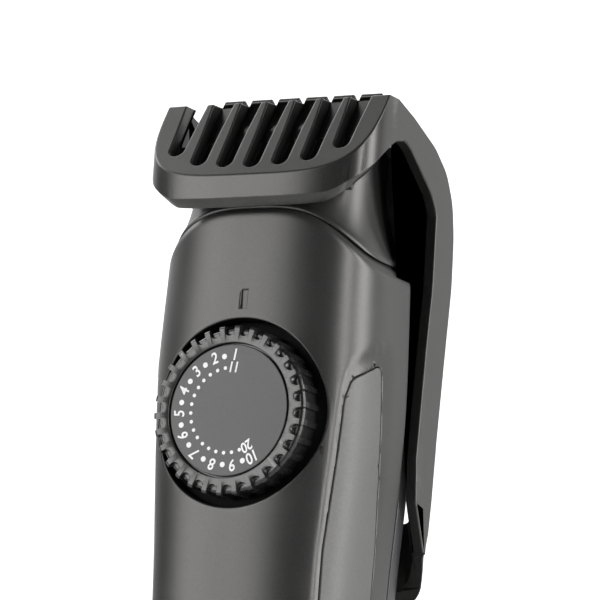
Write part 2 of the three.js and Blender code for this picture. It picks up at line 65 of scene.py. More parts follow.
back = Vector((
    math.sin(VIEW_AZIMUTH) * math.cos(VIEW_ELEVATION),
    -math.cos(VIEW_AZIMUTH) * math.cos(VIEW_ELEVATION),
    math.sin(VIEW_ELEVATION)))
level = Vector((math.cos(VIEW_AZIMUTH), math.sin(VIEW_AZIMUTH), 0))
up = back.cross(level)
right = level * math.cos(VIEW_ROLL) + up * math.sin(VIEW_ROLL)
up = up * math.cos(VIEW_ROLL) - level * math.sin(VIEW_ROLL)
eye = DIAL + right * DIAL_LEFT_OF_CENTRE + up * DIAL_BELOW_CENTRE + back * VIEW_DISTANCE

bpy.ops.object.camera_add()
camera = bpy.context.object
camera.data.lens = 267.2
camera.data.clip_end = 20
camera.matrix_world = Matrix.Translation(eye * MM) @ Matrix((right, up, back)).transposed().to_4x4()
bpy.context.scene.camera = camera

# ---- Studio -------------------------------------------------------------------------------
# A small pale table top and a pale backdrop, two tall soft boxes, a weak overhead panel and
# a rim panel behind. The table stops short of the camera, which looks up past its edge.


def plain_material(name, color, roughness):
    material = bpy.data.materials.new(name)
    material.use_nodes = True
    shader = material.node_tree.nodes["Principled BSDF"]
    shader.inputs["Base Color"].default_value = (*color, 1)
    shader.inputs["Roughness"].default_value = roughness
    return material


bpy.ops.mesh.primitive_circle_add(vertices=96, radius=0.36, fill_type="NGON")
floor = bpy.context.object
floor.name = "table_top"
floor.data.materials.append(plain_material("pale_table", (0.85, 0.85, 0.85), 0.6))
bpy.context.scene.view_settings.view_transform = "Standard"

bpy.ops.mesh.primitive_plane_add(size=9)
backdrop = bpy.context.object
backdrop.name = "backdrop"
backdrop_turn = Matrix((level, Vector((0, 0, 1)), level.cross(Vector((0, 0, 1))))).transposed()
backdrop.matrix_world = (
    Matrix.Translation(Vector((-2.4 * back.x, -2.4 * back.y, 0.5))) @ backdrop_turn.to_4x4())
backdrop_paper = plain_material("pale_backdrop", (0.9, 0.9, 0.91), 0.9)
backdrop_paper.node_tree.nodes["Principled BSDF"].inputs["Emission Color"].default_value = (1, 1, 1, 1)
backdrop_paper.node_tree.nodes["Principled BSDF"].inputs["Emission Strength"].default_value = 0.95
backdrop.data.materials.append(backdrop_paper)


def soft_box(name, place, aim, width, height, power):
    bpy.ops.object.light_add(type="AREA", location=place)
    lamp = bpy.context.object
    lamp.name = name
    lamp.data.shape = "RECTANGLE"
    lamp.data.size = width
    lamp.data.size_y = height
    lamp.data.energy = power
    lamp.rotation_euler = (Vector(aim) - Vector(place)).to_track_quat("-Z", "Y").to_euler()
    return lamp


MIDDLE = (0, 0, 0.12)


def around(azimuth, distance, height):
    # A place round the trimmer, by its angle from the front towards the right.
    turn = math.radians(azimuth)
    return (distance * math.sin(turn), -distance * math.cos(turn), height)


soft_box("left_box", around(-36, 0.85, 0.22), MIDDLE, 0.4, 0.8, 5.6)
soft_box("right_box", around(68, 0.9, 0.26), MIDDLE, 0.24, 0.8, 5.5)
soft_box("side_box", around(108, 0.8, 0.24), MIDDLE, 0.36, 0.9, 8.5)
soft_box("rear_box", around(150, 0.9, 0.24), MIDDLE, 0.3, 0.8, 0.3)
soft_box("blade_box", (-0.4, -0.16, 0.86), (0, 0, 0.15), 0.26, 0.26, 0.15)
soft_box("backdrop_light", (-0.9, 0.1, 0.9), (-0.7, 0.85, 0.2), 0.9, 0.9, 14)

world = bpy.data.worlds.new("studio_air")
bpy.context.scene.world = world
world.use_nodes = True
world.node_tree.nodes["Background"].inputs["Color"].default_value = (0.8, 0.85, 0.95, 1)
world.node_tree.nodes["Background"].inputs["Strength"].default_value = 0.05

# ---- Body form ----------------------------------------------------------------------------
# The handle's outer form, shared by its painted mouldings: a rounded section whose width and
# depth change gently up the handle, with an arched top edge under the head.
BODY_EXPONENT = 3.3
REAR_EXPONENT = 5
STATIONS = [0, 30, 60, 90, 120, 146]
HALF_WIDTH = [16, 16.3, 16.7, 17.7, 19.1, 18.5]
FRONT_DEPTH = [12.6, 13.4, 14.2, 14.8, 15, 14]
REAR_DEPTH = [12.8, 13.4, 14, 14.3, 14.3, 13.8]
WALL = 2
ARCH_TOP = 144.5
ARCH_DROP = 9
FLANK = 19.1
base_low, base_high = mm_box("base_cap")
SHELL_FOOT = mm_box("front_shell")[0].z
SEAM_Y = mm_box("front_shell")[1].y


def along(values, z):
    # A smooth curve through the stations.
    z = min(max(z, STATIONS[0]), STATIONS[-1])
    i = max(k for k in range(len(STATIONS) - 1) if STATIONS[k] <= z)
    span = STATIONS[i + 1] - STATIONS[i]
    t = (z - STATIONS[i]) / span
    before, after = max(i - 1, 0), min(i + 2, len(STATIONS) - 1)
    slope0 = (values[i + 1] - values[before]) / (STATIONS[i + 1] - STATIONS[before]) * span
    slope1 = (values[after] - values[i]) / (STATIONS[after] - STATIONS[i]) * span
    square, cube = t * t, t * t * t
    return (values[i] * (2 * cube - 3 * square + 1) + slope0 * (cube - 2 * square + t)
            + values[i + 1] * (3 * square - 2 * cube) + slope1 * (cube - square))


def arch(x):
    return ARCH_TOP - ARCH_DROP * min(abs(x) / FLANK, 1.02) ** 3


def body_ring(z, inset, y_from, y_to, count):
    # Evenly spaced points round the section, from the right flank at y_from, past the front
    # or the rear, to the left flank at y_to. Front: y_from > y_to in turn order.
    width = along(HALF_WIDTH, z) - inset
    front = along(FRONT_DEPTH, z) - inset
    rear = along(REAR_DEPTH, z) - inset
    turns = np.linspace(y_from, y_to, 1440)
    c, s = np.cos(turns), np.sin(turns)
    power = np.where(s > 0, 2 / REAR_EXPONENT, 2 / BODY_EXPONENT)
    x = width * np.sign(c) * np.abs(c) ** power
    y = np.where(s > 0, rear, front) * np.sign(s) * np.abs(s) ** power
    steps = np.hypot(np.diff(x), np.diff(y))
    travel = np.concatenate([[0], np.cumsum(steps)])
    even = np.linspace(0, travel[-1], count)
    return np.stack([np.interp(even, travel, x), np.interp(even, travel, y)], axis=1)


def seam_turn(z, inset, y):
    # The turn at which the section crosses y behind the middle.
    rear = along(REAR_DEPTH, z) - inset
    return math.asin(min(1, (y / rear) ** (REAR_EXPONENT / 2)))


def smooth_step(value):
    t = min(max(value, 0), 1)
    return t * t * (3 - 2 * t)


def select_only(piece):
    bpy.ops.object.select_all(action="DESELECT")
    piece.select_set(True)
    bpy.context.view_layer.objects.active = piece


def wrapped(name, rows):
    # A grid bent round a form: each row is a ring of points that closes on itself, and rows
    # that shrink to a line or a point close the ends.
    rows = np.array(rows, float)
    rows = np.concatenate([rows, rows[:, :1]], axis=1)
    bpy.ops.object.select_all(action="DESELECT")
    bpy.ops.mesh.primitive_grid_add(
        x_subdivisions=rows.shape[1] - 1, y_subdivisions=rows.shape[0] - 1, size=1)
    piece = bpy.context.object
    piece.name = name
    piece.data.name = name
    piece.data.vertices.foreach_set("co", (rows.reshape(-1, 3) * MM).ravel())
    bpy.ops.object.mode_set(mode="EDIT")
    bpy.ops.mesh.select_all(action="SELECT")
    bpy.ops.mesh.remove_doubles(threshold=1e-7)
    bpy.ops.mesh.normals_make_consistent(inside=False)
    bpy.ops.object.mode_set(mode="OBJECT")
    return piece


def prism(name, outline, axis, low, high):
    # A flat outline drawn from a circle's points and extruded along one axis.
    count = len(outline)
    bpy.ops.object.select_all(action="DESELECT")
    bpy.ops.mesh.primitive_circle_add(vertices=count, fill_type="NGON")
    piece = bpy.context.object
    piece.name = name
    outline = np.array(outline, float)
    level_ = np.full(count, low)
    if axis == "X":
        flat = np.stack([level_, outline[:, 0], outline[:, 1]], axis=1)
    elif axis == "Y":
        flat = np.stack([outline[:, 0], level_, outline[:, 1]], axis=1)
    else:
        flat = np.stack([outline[:, 0], outline[:, 1], level_], axis=1)
    piece.data.vertices.foreach_set("co", (flat * MM).ravel())
    move = [0, 0, 0]
    move["XYZ".index(axis)] = (high - low) * MM
    bpy.ops.object.mode_set(mode="EDIT")
    bpy.ops.mesh.select_all(action="SELECT")
    bpy.ops.mesh.extrude_region_move(TRANSFORM_OT_translate={"value": move})
    bpy.ops.mesh.select_all(action="SELECT")
    bpy.ops.mesh.normals_make_consistent(inside=False)
    bpy.ops.object.mode_set(mode="OBJECT")
    return piece


def combine(piece, tool, operation):
    select_only(piece)
    bpy.ops.object.modifier_add(type="BOOLEAN")
    modifier = piece.modifiers[-1]
    modifier.object = tool
    modifier.operation = operation
    modifier.solver = "EXACT"
    bpy.ops.object.modifier_apply(modifier=modifier.name)
    bpy.data.objects.remove(tool)


def settle(piece):
    # Smooth shading across the shallow edges, with large faces kept flat.
    select_only(piece)
    bpy.ops.object.shade_smooth_by_angle(angle=math.radians(40))
    bpy.ops.object.modifier_add(type="WEIGHTED_NORMAL")
    modifier = piece.modifiers[-1]
    modifier.keep_sharp = True
    modifier.weight = 100
    bpy.ops.object.modifier_apply(modifier=modifier.name)


def soften(piece, width, segments=2, angle=38):
    # Rounds the sharp edges.
    select_only(piece)
    bpy.ops.object.mode_set(mode="EDIT")
    bpy.ops.mesh.select_all(action="SELECT")
    bpy.ops.mesh.remove_doubles(threshold=0.02 * MM)
    bpy.ops.object.mode_set(mode="OBJECT")
    bpy.ops.object.modifier_add(type="BEVEL")
    modifier = piece.modifiers[-1]
    modifier.width = width * MM
    modifier.segments = segments
    modifier.limit_method = "ANGLE"
    modifier.angle_limit = math.radians(angle)
    modifier.use_clamp_overlap = False
    bpy.ops.object.modifier_apply(modifier=modifier.name)
    settle(piece)


def copy_of(piece, name):
    select_only(piece)
    bpy.ops.object.duplicate()
    double = bpy.context.object
    double.name = name
    return double


def dress(piece, material, body, slot, *nodes):
    # Gives a finished piece its material, its body and the CAD nodes that it stands for.
    piece.data.materials.clear()
    piece.data.materials.append(material)
    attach(piece, body)
    if nodes:
        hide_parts(*nodes)


# ---- Surface effects shared by the materials ----------------------------------------------
# Grain: a moulded or painted skin's fine relief and slow tone drift. Wear: a mask that picks
# out the rubbed outer edges.


def group_node(tree, kind, **settings):
    node = tree.nodes.new(kind)
    for key, value in settings.items():
        setattr(node, key, value)
    return node


def noise(tree, coordinates, scale, detail, roughness=0.5):
    node = group_node(tree, "ShaderNodeTexNoise")
    node.inputs["Scale"].default_value = scale
    node.inputs["Detail"].default_value = detail
    node.inputs["Roughness"].default_value = roughness
    tree.links.new(coordinates, node.inputs["Vector"])
    return node.outputs["Fac"]


def make_grain_group():
    tree = bpy.data.node_groups.new("skin_grain", "ShaderNodeTree")
    tree.interface.new_socket("Fineness", in_out="INPUT", socket_type="NodeSocketFloat")
    tree.interface.new_socket("Relief", in_out="OUTPUT", socket_type="NodeSocketFloat")
    tree.interface.new_socket("Speckle", in_out="OUTPUT", socket_type="NodeSocketFloat")
    tree.interface.new_socket("Drift", in_out="OUTPUT", socket_type="NodeSocketFloat")
    inside = group_node(tree, "NodeGroupInput")
    outside = group_node(tree, "NodeGroupOutput")
    place = group_node(tree, "ShaderNodeTexCoord").outputs["Object"]
    fine = group_node(tree, "ShaderNodeTexNoise")
    fine.inputs["Detail"].default_value = 3
    tree.links.new(place, fine.inputs["Vector"])
    tree.links.new(inside.outputs["Fineness"], fine.inputs["Scale"])
    flake = group_node(tree, "ShaderNodeTexVoronoi")
    tree.links.new(place, flake.inputs["Vector"])
    tree.links.new(inside.outputs["Fineness"], flake.inputs["Scale"])
    tree.links.new(fine.outputs["Fac"], outside.inputs["Relief"])
    tree.links.new(flake.outputs["Color"], outside.inputs["Speckle"])
    tree.links.new(noise(tree, place, 90, 4, 0.6), outside.inputs["Drift"])
    return tree


def make_wear_group():
    tree = bpy.data.node_groups.new("edge_wear", "ShaderNodeTree")
    tree.interface.new_socket("Worn", in_out="OUTPUT", socket_type="NodeSocketFloat")
    outside = group_node(tree, "NodeGroupOutput")
    place = group_node(tree, "ShaderNodeTexCoord").outputs["Object"]
    edge = group_node(tree, "ShaderNodeMapRange")
    edge.inputs["From Min"].default_value = 0.53
    edge.inputs["From Max"].default_value = 0.62
    tree.links.new(group_node(tree, "ShaderNodeNewGeometry").outputs["Pointiness"], edge.inputs["Value"])
    breakup = group_node(tree, "ShaderNodeMapRange")
    breakup.inputs["From Min"].default_value = 0.4
    breakup.inputs["From Max"].default_value = 0.7
    tree.links.new(noise(tree, place, 420, 5, 0.65), breakup.inputs["Value"])
    both = group_node(tree, "ShaderNodeMath", operation="MULTIPLY")
    tree.links.new(edge.outputs["Result"], both.inputs[0])
    tree.links.new(breakup.outputs["Result"], both.inputs[1])
    tree.links.new(both.outputs["Value"], outside.inputs["Worn"])
    return tree


grain_group = make_grain_group()
wear_group = make_wear_group()


def surface(name, dark, light, rough, metallic, fineness, relief, wear=None, coat=0, bore=False):
    # A skin whose colour drifts between two tones, with grain in its relief and roughness. With
    # bore set, the bore's wall round the dial is coloured near black: painted shade for the dark gap round the
    # dial.
    material = bpy.data.materials.new(name)
    material.use_nodes = True
    tree = material.node_tree
    shader = tree.nodes["Principled BSDF"]
    shader.inputs["Metallic"].default_value = metallic
    shader.inputs["Coat Weight"].default_value = coat
    shader.inputs["Coat Roughness"].default_value = 0.12
    grain = group_node(tree, "ShaderNodeGroup", node_tree=grain_group)
    grain.inputs["Fineness"].default_value = fineness
    blend = group_node(tree, "ShaderNodeMath", operation="MULTIPLY_ADD")
    blend.inputs[1].default_value = 0.45
    tree.links.new(grain.outputs["Speckle"], blend.inputs[0])
    drift = group_node(tree, "ShaderNodeMath", operation="MULTIPLY")
    drift.inputs[1].default_value = 0.55
    tree.links.new(grain.outputs["Drift"], drift.inputs[0])
    tree.links.new(drift.outputs["Value"], blend.inputs[2])
    tone = group_node(tree, "ShaderNodeMix", data_type="RGBA")
    tone.inputs["A"].default_value = (*dark, 1)
    tone.inputs["B"].default_value = (*light, 1)
    tree.links.new(blend.outputs["Value"], tone.inputs["Factor"])
    color = tone.outputs["Result"]
    if wear:
        worn = group_node(tree, "ShaderNodeGroup", node_tree=wear_group)
        rubbed = group_node(tree, "ShaderNodeMix", data_type="RGBA")
        rubbed.inputs["B"].default_value = (*wear, 1)
        tree.links.new(worn.outputs["Worn"], rubbed.inputs["Factor"])
        tree.links.new(color, rubbed.inputs["A"])
        color = rubbed.outputs["Result"]
    # Painted shade: inside the bore's radius the colour is turned near black.
    if bore:
        place = group_node(tree, "ShaderNodeTexCoord").outputs["Object"]
        aside = group_node(tree, "ShaderNodeVectorMath", operation="SUBTRACT")
        aside.inputs[1].default_value = (0, 0, DIAL.z * MM)
        tree.links.new(place, aside.inputs[0])
        flat = group_node(tree, "ShaderNodeVectorMath", operation="MULTIPLY")
        flat.inputs[1].default_value = (1, 0, 1)
        tree.links.new(aside.outputs["Vector"], flat.inputs[0])
        radius = group_node(tree, "ShaderNodeVectorMath", operation="LENGTH")
        tree.links.new(flat.outputs["Vector"], radius.inputs[0])
        wall = group_node(tree, "ShaderNodeMapRange")
        wall.inputs["From Min"].default_value = 14.93 * MM
        wall.inputs["From Max"].default_value = 14.905 * MM
        tree.links.new(radius.outputs["Value"], wall.inputs["Value"])
        painted_bore_shade = group_node(tree, "ShaderNodeMix", data_type="RGBA")
        painted_bore_shade.inputs["B"].default_value = (0.004, 0.004, 0.004, 1)
        tree.links.new(wall.outputs["Result"], painted_bore_shade.inputs["Factor"])
        tree.links.new(color, painted_bore_shade.inputs["A"])
        color = painted_bore_shade.outputs["Result"]
    tree.links.new(color, shader.inputs["Base Color"])
    gloss = group_node(tree, "ShaderNodeMapRange")
    gloss.inputs["To Min"].default_value = rough[0]
    gloss.inputs["To Max"].default_value = rough[1]
    tree.links.new(grain.outputs["Drift"], gloss.inputs["Value"])
    tree.links.new(gloss.outputs["Result"], shader.inputs["Roughness"])
    bump = group_node(tree, "ShaderNodeBump")
    bump.inputs["Strength"].default_value = relief
    bump.inputs["Distance"].default_value = 0.02 * MM
    tree.links.new(grain.outputs["Relief"], bump.inputs["Height"])
    tree.links.new(bump.outputs["Normal"], shader.inputs["Normal"])
    return material


# ---- Front shell --------------------------------------------------------------------------
# The painted front half of the handle, an injection moulding. Its top edge rolls in to the
# arched seam, and each flank has a shallow scoop round its grip plate.
gunmetal = surface(
    "gunmetal_paint", (0.05, 0.049, 0.048), (0.075, 0.074, 0.072), (0.34, 0.42), 0.75, 5200, 0.25,
    wear=(0.11, 0.11, 0.11))
ROLL_HEIGHT = 1.5
ROLL_INSET = 0.6
CREASE = [
    (10, -1), (14, -6), (20, -9.2), (40, -11), (60, -11.6), (91, -12.1), (105, -11.9), (113, -11.6),
    (117, -11.2), (119, -10.7), (120.7, -9.6), (122, -7.9), (123.1, -5.9), (124, -3)]
SCOOP_DEPTH = 0.45
SCOOP_EDGE = 0.8


def scoop(y, z):
    # How far the flank is pressed in round the grip.
    heights = [point[0] for point in CREASE]
    fronts = [point[1] for point in CREASE]
    if not heights[0] < z < heights[-1]:
        return 0
    crease = np.interp(z, heights, fronts)
    slope = (np.interp(z + 0.5, heights, fronts) - np.interp(z - 0.5, heights, fronts))
    inside = (y - crease) / math.hypot(1, slope)
    fade = 1 - smooth_step((y + 7) / 9)
    return SCOOP_DEPTH * smooth_step(inside / SCOOP_EDGE) * fade


def roll(below):
    # Inset of the outer skin at a distance below the arched seam.
    share = min(max(1 - below / ROLL_HEIGHT, 0), 1)
    return ROLL_INSET * (1 - math.sqrt(1 - share * share * 0.96))


def shell_rows(seam, toward_rear, heights, count):
    # Rows of a thin half shell: an outer run and an inner run of points, rounded where they
    # meet at the seam, which both fall to the middle of the wall at the two ends.
    rows = []
    for step, share in enumerate(heights):
        z_mid = SHELL_FOOT + share * (ARCH_TOP - SHELL_FOOT)
        row = []
        for outward, inset in ((True, 0.0), (False, WALL)):
            turn = seam_turn(z_mid, inset, seam)
            ends = (turn, math.pi - turn) if toward_rear else (turn, -math.pi - turn)
            ring = body_ring(z_mid, inset, *ends, count)
            points = []
            for x, y in ring:
                z = SHELL_FOOT + share * (arch(x) - SHELL_FOOT)
                press = roll(arch(x) - z) if outward else 0
                if outward and not toward_rear:
                    press += scoop(y, z)
                width = along(HALF_WIDTH, z_mid)
                depth = along(REAR_DEPTH if y > 0 else FRONT_DEPTH, z_mid)
                power = (REAR_EXPONENT if y > 0 else BODY_EXPONENT) - 1
                normal = Vector((
                    math.copysign(abs(x / width) ** power / width, x),
                    math.copysign(abs(y / depth) ** power / depth, y))).normalized()
                lip = 1 if abs(y - seam) > 0.01 else 0
                points.append((x - normal.x * press, y - normal.y * press * lip, z))
            row.append(points if outward else points[::-1])
        rows.append(row[0] + row[1])
    for end in (0, -1):
        row = np.array(rows[end])
        middle = (row + row[::-1]) / 2
        rim = row + (middle - row) * 0.12
        lift = np.array([0, 0, -0.25 if end == 0 else 0.25])
        rows = ([list(middle + lift), list(rim + lift)] + rows if end == 0
                else rows + [list(rim + lift), list(middle + lift)])
    return rows


low_part = list(np.linspace(0, 0.76, 66))
fine_part = list(np.linspace(0.764, 0.86, 26))
top_part = list(np.linspace(0.87, 0.965, 16)) + list(np.linspace(0.97, 1, 14))
front_shell = wrapped("front_shell_skin", shell_rows(SEAM_Y, False, low_part + fine_part + top_part, 132))

GRIP_GAP = 0.16
GRIP = [(-2.7, 121.2), (-9.2, 117.9), (-10.2, 114.6), (-10.9, 91), (-9.8, 50), (-7.2, 27), (-4.4, 19.5),
        (0.2, 22), (2.2, 50), (0.5, 91), (-1.6, 108)]
GRIP_CORNERS = [1.1, 2.6, 8, 30, 30, 12, 4, 4, 30, 30, 30]


def rounded(outline, radii, grow=0):
    # An outline with its corners turned into arcs, moved outward by a margin.
    points = [Vector(point) for point in outline]
    area = sum(a.x * b.y - b.x * a.y for a, b in zip(points, points[1:] + points[:1]))
    side = 1 if area > 0 else -1
    count = len(points)
    curve = []
    for i, point in enumerate(points):
        to_last = (points[i - 1] - point).normalized()
        to_next = (points[(i + 1) % count] - point).normalized()
        half = to_last.angle(to_next) / 2
        room = 0.45 * min((points[i - 1] - point).length, (points[(i + 1) % count] - point).length)
        reach = min(radii[i] / math.tan(half), room)
        for k in range(9):
            t = k / 8
            start, end = point + to_last * reach, point + to_next * reach
            place = start * (1 - t) ** 2 + point * 2 * t * (1 - t) + end * t * t
            tangent = (point - start) * (1 - t) + (end - point) * t
            outward = Vector((tangent.y, -tangent.x)).normalized() * side
            curve.append(tuple(place + outward * grow))
    return curve


plate_source = copy_of(front_shell, "grip_source")
for sign in (1, -1):
    span = (4, 30) if sign > 0 else (-30, -4)
    combine(front_shell, prism("window", rounded(GRIP, GRIP_CORNERS, GRIP_GAP), "X", *span), "DIFFERENCE")

soften(front_shell, 0.22, 3)
RECESS_RADIUS = 14.9
LIP_RADIUS = 15.3
FLOOR_Y = -11.7


def circle(radius, count, x=0.0, z=0.0):
    turns = [2 * math.pi * i / count for i in range(count)]
    return [(x + radius * math.cos(t), z + radius * math.sin(t)) for t in turns]


combine(front_shell, prism("dial_bore", circle(LIP_RADIUS, 192, 0, DIAL.z), "Y", -25, 0), "DIFFERENCE")
button_low, button_high = mm_box("power_button")
BUTTON_Z = (button_low.z + button_high.z) / 2
BUTTON_RADIUS = (button_high.x - button_low.x) / 2
combine(front_shell, prism("button_bore", circle(BUTTON_RADIUS + 0.25, 72, 0, BUTTON_Z), "Y", -25, 0),
        "DIFFERENCE")
light_low, light_high = mm_box("charge_light")
LIGHT_Z = (light_low.z + light_high.z) / 2
LIGHT_RADIUS = (light_high.x - light_low.x) / 2
combine(front_shell, prism("light_bore", circle(LIGHT_RADIUS + 0.06, 32, 0, LIGHT_Z), "Y", -25, 0),
        "DIFFERENCE")
MARK = [(-0.45, 128.5), (0.7, 128.5), (0.7, 131.5), (-0.45, 131.5)]
combine(front_shell, prism("index_mark", MARK, "Y", -25, -14.4), "DIFFERENCE")
settle(front_shell)
dress(front_shell, gunmetal, "housing", "body_paint", "front_shell")

# ---- Grip plates --------------------------------------------------------------------------
# Fine-textured plates let into the flanks, flush with the scoop, with a hairline gap round
# them. Two-shot moulded into the front shell.
grip_skin = surface(
    "grip_texture", (0.075, 0.074, 0.073), (0.105, 0.104, 0.102), (0.46, 0.56), 0.45, 3600, 0.6)
for name, span in (("side_grip_right", (4, 30)), ("side_grip_left", (-30, -4))):
    plate = copy_of(plate_source, name + "_plate")
    combine(plate, prism("plate_edge", rounded(GRIP, GRIP_CORNERS, 0), "X", *span), "INTERSECT")
    soften(plate, 0.14, 2)
    dress(plate, grip_skin, "housing", "grip_plastic", name)
bpy.data.objects.remove(plate_source)

# ---- Rear shell ---------------------------------------------------------------------------
# The back half of the handle, squarer than the front, in black plastic. Behind the seam its
# flanks step in to make the channels that the comb's arms run in.
black_plastic = surface(
    "black_plastic", (0.012, 0.012, 0.013), (0.022, 0.022, 0.023), (0.38, 0.5), 0, 4200, 0.4,
    wear=(0.05, 0.05, 0.05))

CHANNEL_X = 17.6


def channel_reach(y, z):
    # Half-width that the channels leave, with a sloping step at their lower end.
    edge = np.interp(y, [SEAM_Y, 8.2, 16], [103, 99.5, 84])
    return CHANNEL_X + max(0, (edge - z) * 0.9)


rear_rows = []
for row in shell_rows(SEAM_Y + 0.3, True, low_part[:40:2] + list(np.linspace(0.5, 0.97, 80)) + top_part[-14:], 96):
    half = len(row) // 2
    bent = []
    for i, (x, y, z) in enumerate(row):
        reach = channel_reach(y, z) - (0 if i < half else WALL)
        bent.append((math.copysign(min(abs(x), reach), x), y, z))
    rear_rows.append(bent)
rear_shell = wrapped("rear_shell_skin", rear_rows)
carriage_low, carriage_high = mm_box("comb_carriage")
slot_outline = [(-5.6, 85.6), (5.6, 85.6), (5.6, 99.6), (-5.6, 99.6)]
combine(rear_shell, prism("carriage_slot", slot_outline, "Y", 5, 25), "DIFFERENCE")
screws = [mm_box("housing_screw_%d" % number) for number in (1, 2, 3, 4)]
for screw_low, screw_high in screws:
    middle = ((screw_low.x + screw_high.x) / 2, (screw_low.z + screw_high.z) / 2)
    combine(rear_shell, prism("screw_well", circle(2.3, 32, *middle), "Y", 8, 25), "DIFFERENCE")
soften(rear_shell, 0.22, 3)
dress(rear_shell, black_plastic, "housing", "black_plastic", "rear_shell")

# ---- Base cap -----------------------------------------------------------------------------
# The moulded foot of the handle, rounded at the bottom edge, with a pocket for the charging
# inlet. Black plastic, clipped into the two shells.

def whole_ring(z, inset, count):
    ring = body_ring(z, inset, 0, 2 * math.pi, count + 1)[:-1]
    return [(x, y, z) for x, y in ring]


base_rows = [[(0, 0, 0)] * 160, whole_ring(0.001, 3, 160)]
base_rows[1] = [(x, y, 0) for x, y, z in base_rows[1]]
for share in np.linspace(0, 1, 9):
    turn = share * math.pi / 2
    ring = whole_ring(2 * (1 - math.cos(turn)), 1.7 * (1 - math.sin(turn)), 160)
    base_rows.append(ring)
for z, inset in ((4, 0), (6.3, 0), (6.6, 0.08), (base_high.z - 4.3, 0.3)):
    base_rows.append(whole_ring(min(z, SHELL_FOOT - 0.3), inset, 160))
base_rows.append([(0, 0, SHELL_FOOT - 0.3)] * 160)
base_cap = wrapped("base_cap_moulding", base_rows)
socket_low, socket_high = mm_box("charging_socket")
POCKET = rounded([(-6.8, -4.8), (6.8, -4.8), (6.8, 4.8), (-6.8, 4.8)], [1] * 4)
combine(base_cap, prism("inlet_pocket", POCKET, "Z", -1, 20), "DIFFERENCE")
soften(base_cap, 0.2)
dress(base_cap, black_plastic, "housing", "black_plastic", "base_cap")

# ---- Charging inlet -----------------------------------------------------------------------
# A small two-pole socket in the foot: a moulded block with an oval mouth and two round pins.


def superellipse(width, depth, exponent, count, start=0.0, end=2 * math.pi, closed=True):
    turns = np.linspace(start, end, count, endpoint=not closed)
    c, s = np.cos(turns), np.sin(turns)
    return list(zip(width * np.sign(c) * np.abs(c) ** (2 / exponent),
                    depth * np.sign(s) * np.abs(s) ** (2 / exponent)))


BLOCK = rounded([(-6.5, -4.5), (6.5, -4.5), (6.5, 4.5), (-6.5, 4.5)], [0.8] * 4)
inlet = prism("inlet_block", BLOCK, "Z", socket_low.z, socket_high.z)
combine(inlet, prism("inlet_mouth", superellipse(5.2, 3.3, 3, 64), "Z", -1, 11), "DIFFERENCE")
soften(inlet, 0.2)
dress(inlet, black_plastic, "housing", "black_plastic", "charging_socket")


def lathe(name, profile, x, z, count=64, axis="Y"):
    # A profile of (radius, distance along the axis) turned round an axis through (x, z), or
    # through (x, y) for an upright axis.
    rows = []
    for radius, reach in profile:
        ring = circle(radius, count, x, z)
        rows.append([(a, reach, b) if axis == "Y" else (a, b, reach) for a, b in ring])
    return wrapped(name, rows)


brass = surface("contact_brass", (0.5, 0.33, 0.12), (0.66, 0.46, 0.2), (0.2, 0.3), 1, 2600, 0.2)
for name in ("socket_pin_left", "socket_pin_right"):
    pin_low, pin_high = mm_box(name)
    radius = (pin_high.x - pin_low.x) / 2
    low, high = pin_low.z, pin_high.z
    profile = [(0, low), (radius * 0.6, low + 0.04), (radius * 0.9, low + 0.25), (radius, low + 0.6),
               (radius, high - 0.1), (radius * 0.9, high), (0, high)]
    pin = lathe(name + "_turned", profile, (pin_low.x + pin_high.x) / 2,
                (pin_low.y + pin_high.y) / 2, 32, "Z")
    soften(pin, 0.03)
    dress(pin, brass, "housing", "contact_brass", name)

# ---- Dial well ----------------------------------------------------------------------------
# The round recess the dial sits in: a rolled lip in the painted skin, and a wall and floor made near black and
# barely reflective, painted shade for the dark recess behind the dial.
# The lip's paint, with painted shade on the bore's wall round the dial.
lip_and_bore_shade_skin = surface(
    "lip_paint_with_bore_shade", (0.05, 0.049, 0.048), (0.075, 0.074, 0.072), (0.34, 0.42), 0.75, 5200, 0.25, bore=True)
well_painted_shade = surface(
    "well_painted_shade", (0.006, 0.006, 0.006), (0.011, 0.011, 0.011), (0.5, 0.62), 0, 3000, 0.4)
well = lathe("dial_well", [(2.9, -11.25), (14.85, -11.25), (14.85, -11.7), (14.4, -11.72),
                           (3.0, -11.72), (2.9, -11.6), (2.9, -11.25)], 0, DIAL.z, 96)
soften(well, 0.05)
# Reflection turned nearly off so that the well shows black: painted shade.
well_painted_shade.node_tree.nodes["Principled BSDF"].inputs["Specular IOR Level"].default_value = 0.05
dress(well, well_painted_shade, "housing", "body_paint")


def front_skin(x, z):
    # Distance of the painted skin in front of the middle.
    share = min(1, abs(x) / along(HALF_WIDTH, z)) ** BODY_EXPONENT
    return -along(FRONT_DEPTH, z) * (1 - share) ** (1 / BODY_EXPONENT)


lip_rows = []
LIP = [(15.33, 0.0), (15.2, 0.0), (15.08, 0.03), (14.98, 0.12), (14.92, 0.24), (14.9, 0.4)]
for radius, sink in LIP:
    lip_rows.append([(x, front_skin(x, z) + sink, z) for x, z in circle(radius, 192, 0, DIAL.z)])
for radius, y in ((14.9, -11.75), (15.1, -11.6), (15.33, -11.6)):
    lip_rows.append([(x, y, z) for x, z in circle(radius, 192, 0, DIAL.z)])
lip_rows.append(lip_rows[0])
dial_lip = wrapped("dial_lip", lip_rows)
settle(dial_lip)
dress(dial_lip, lip_and_bore_shade_skin, "housing", "body_paint")

# ---- Head housing -------------------------------------------------------------------------
# The neck under the cutter: a flange that follows the arched seam, a concave flare, and a
# wedge-shaped top that carries the blades. Painted like the handle, screwed on from inside.
neck_low, neck_high = mm_box("head_housing")
NECK_WIDTH = 15.3
NECK_FRONT = 11.4
NECK_REAR = 8.4
LEAN = math.atan(0.657)
TIP_Y = -7.6
TIP_Z = 163.3


def leaning(v, w):
    # A point (y, z) given up the blade slope and out of it.
    return (TIP_Y + v * math.sin(LEAN) - w * math.cos(LEAN),
            TIP_Z + v * math.cos(LEAN) + w * math.sin(LEAN))


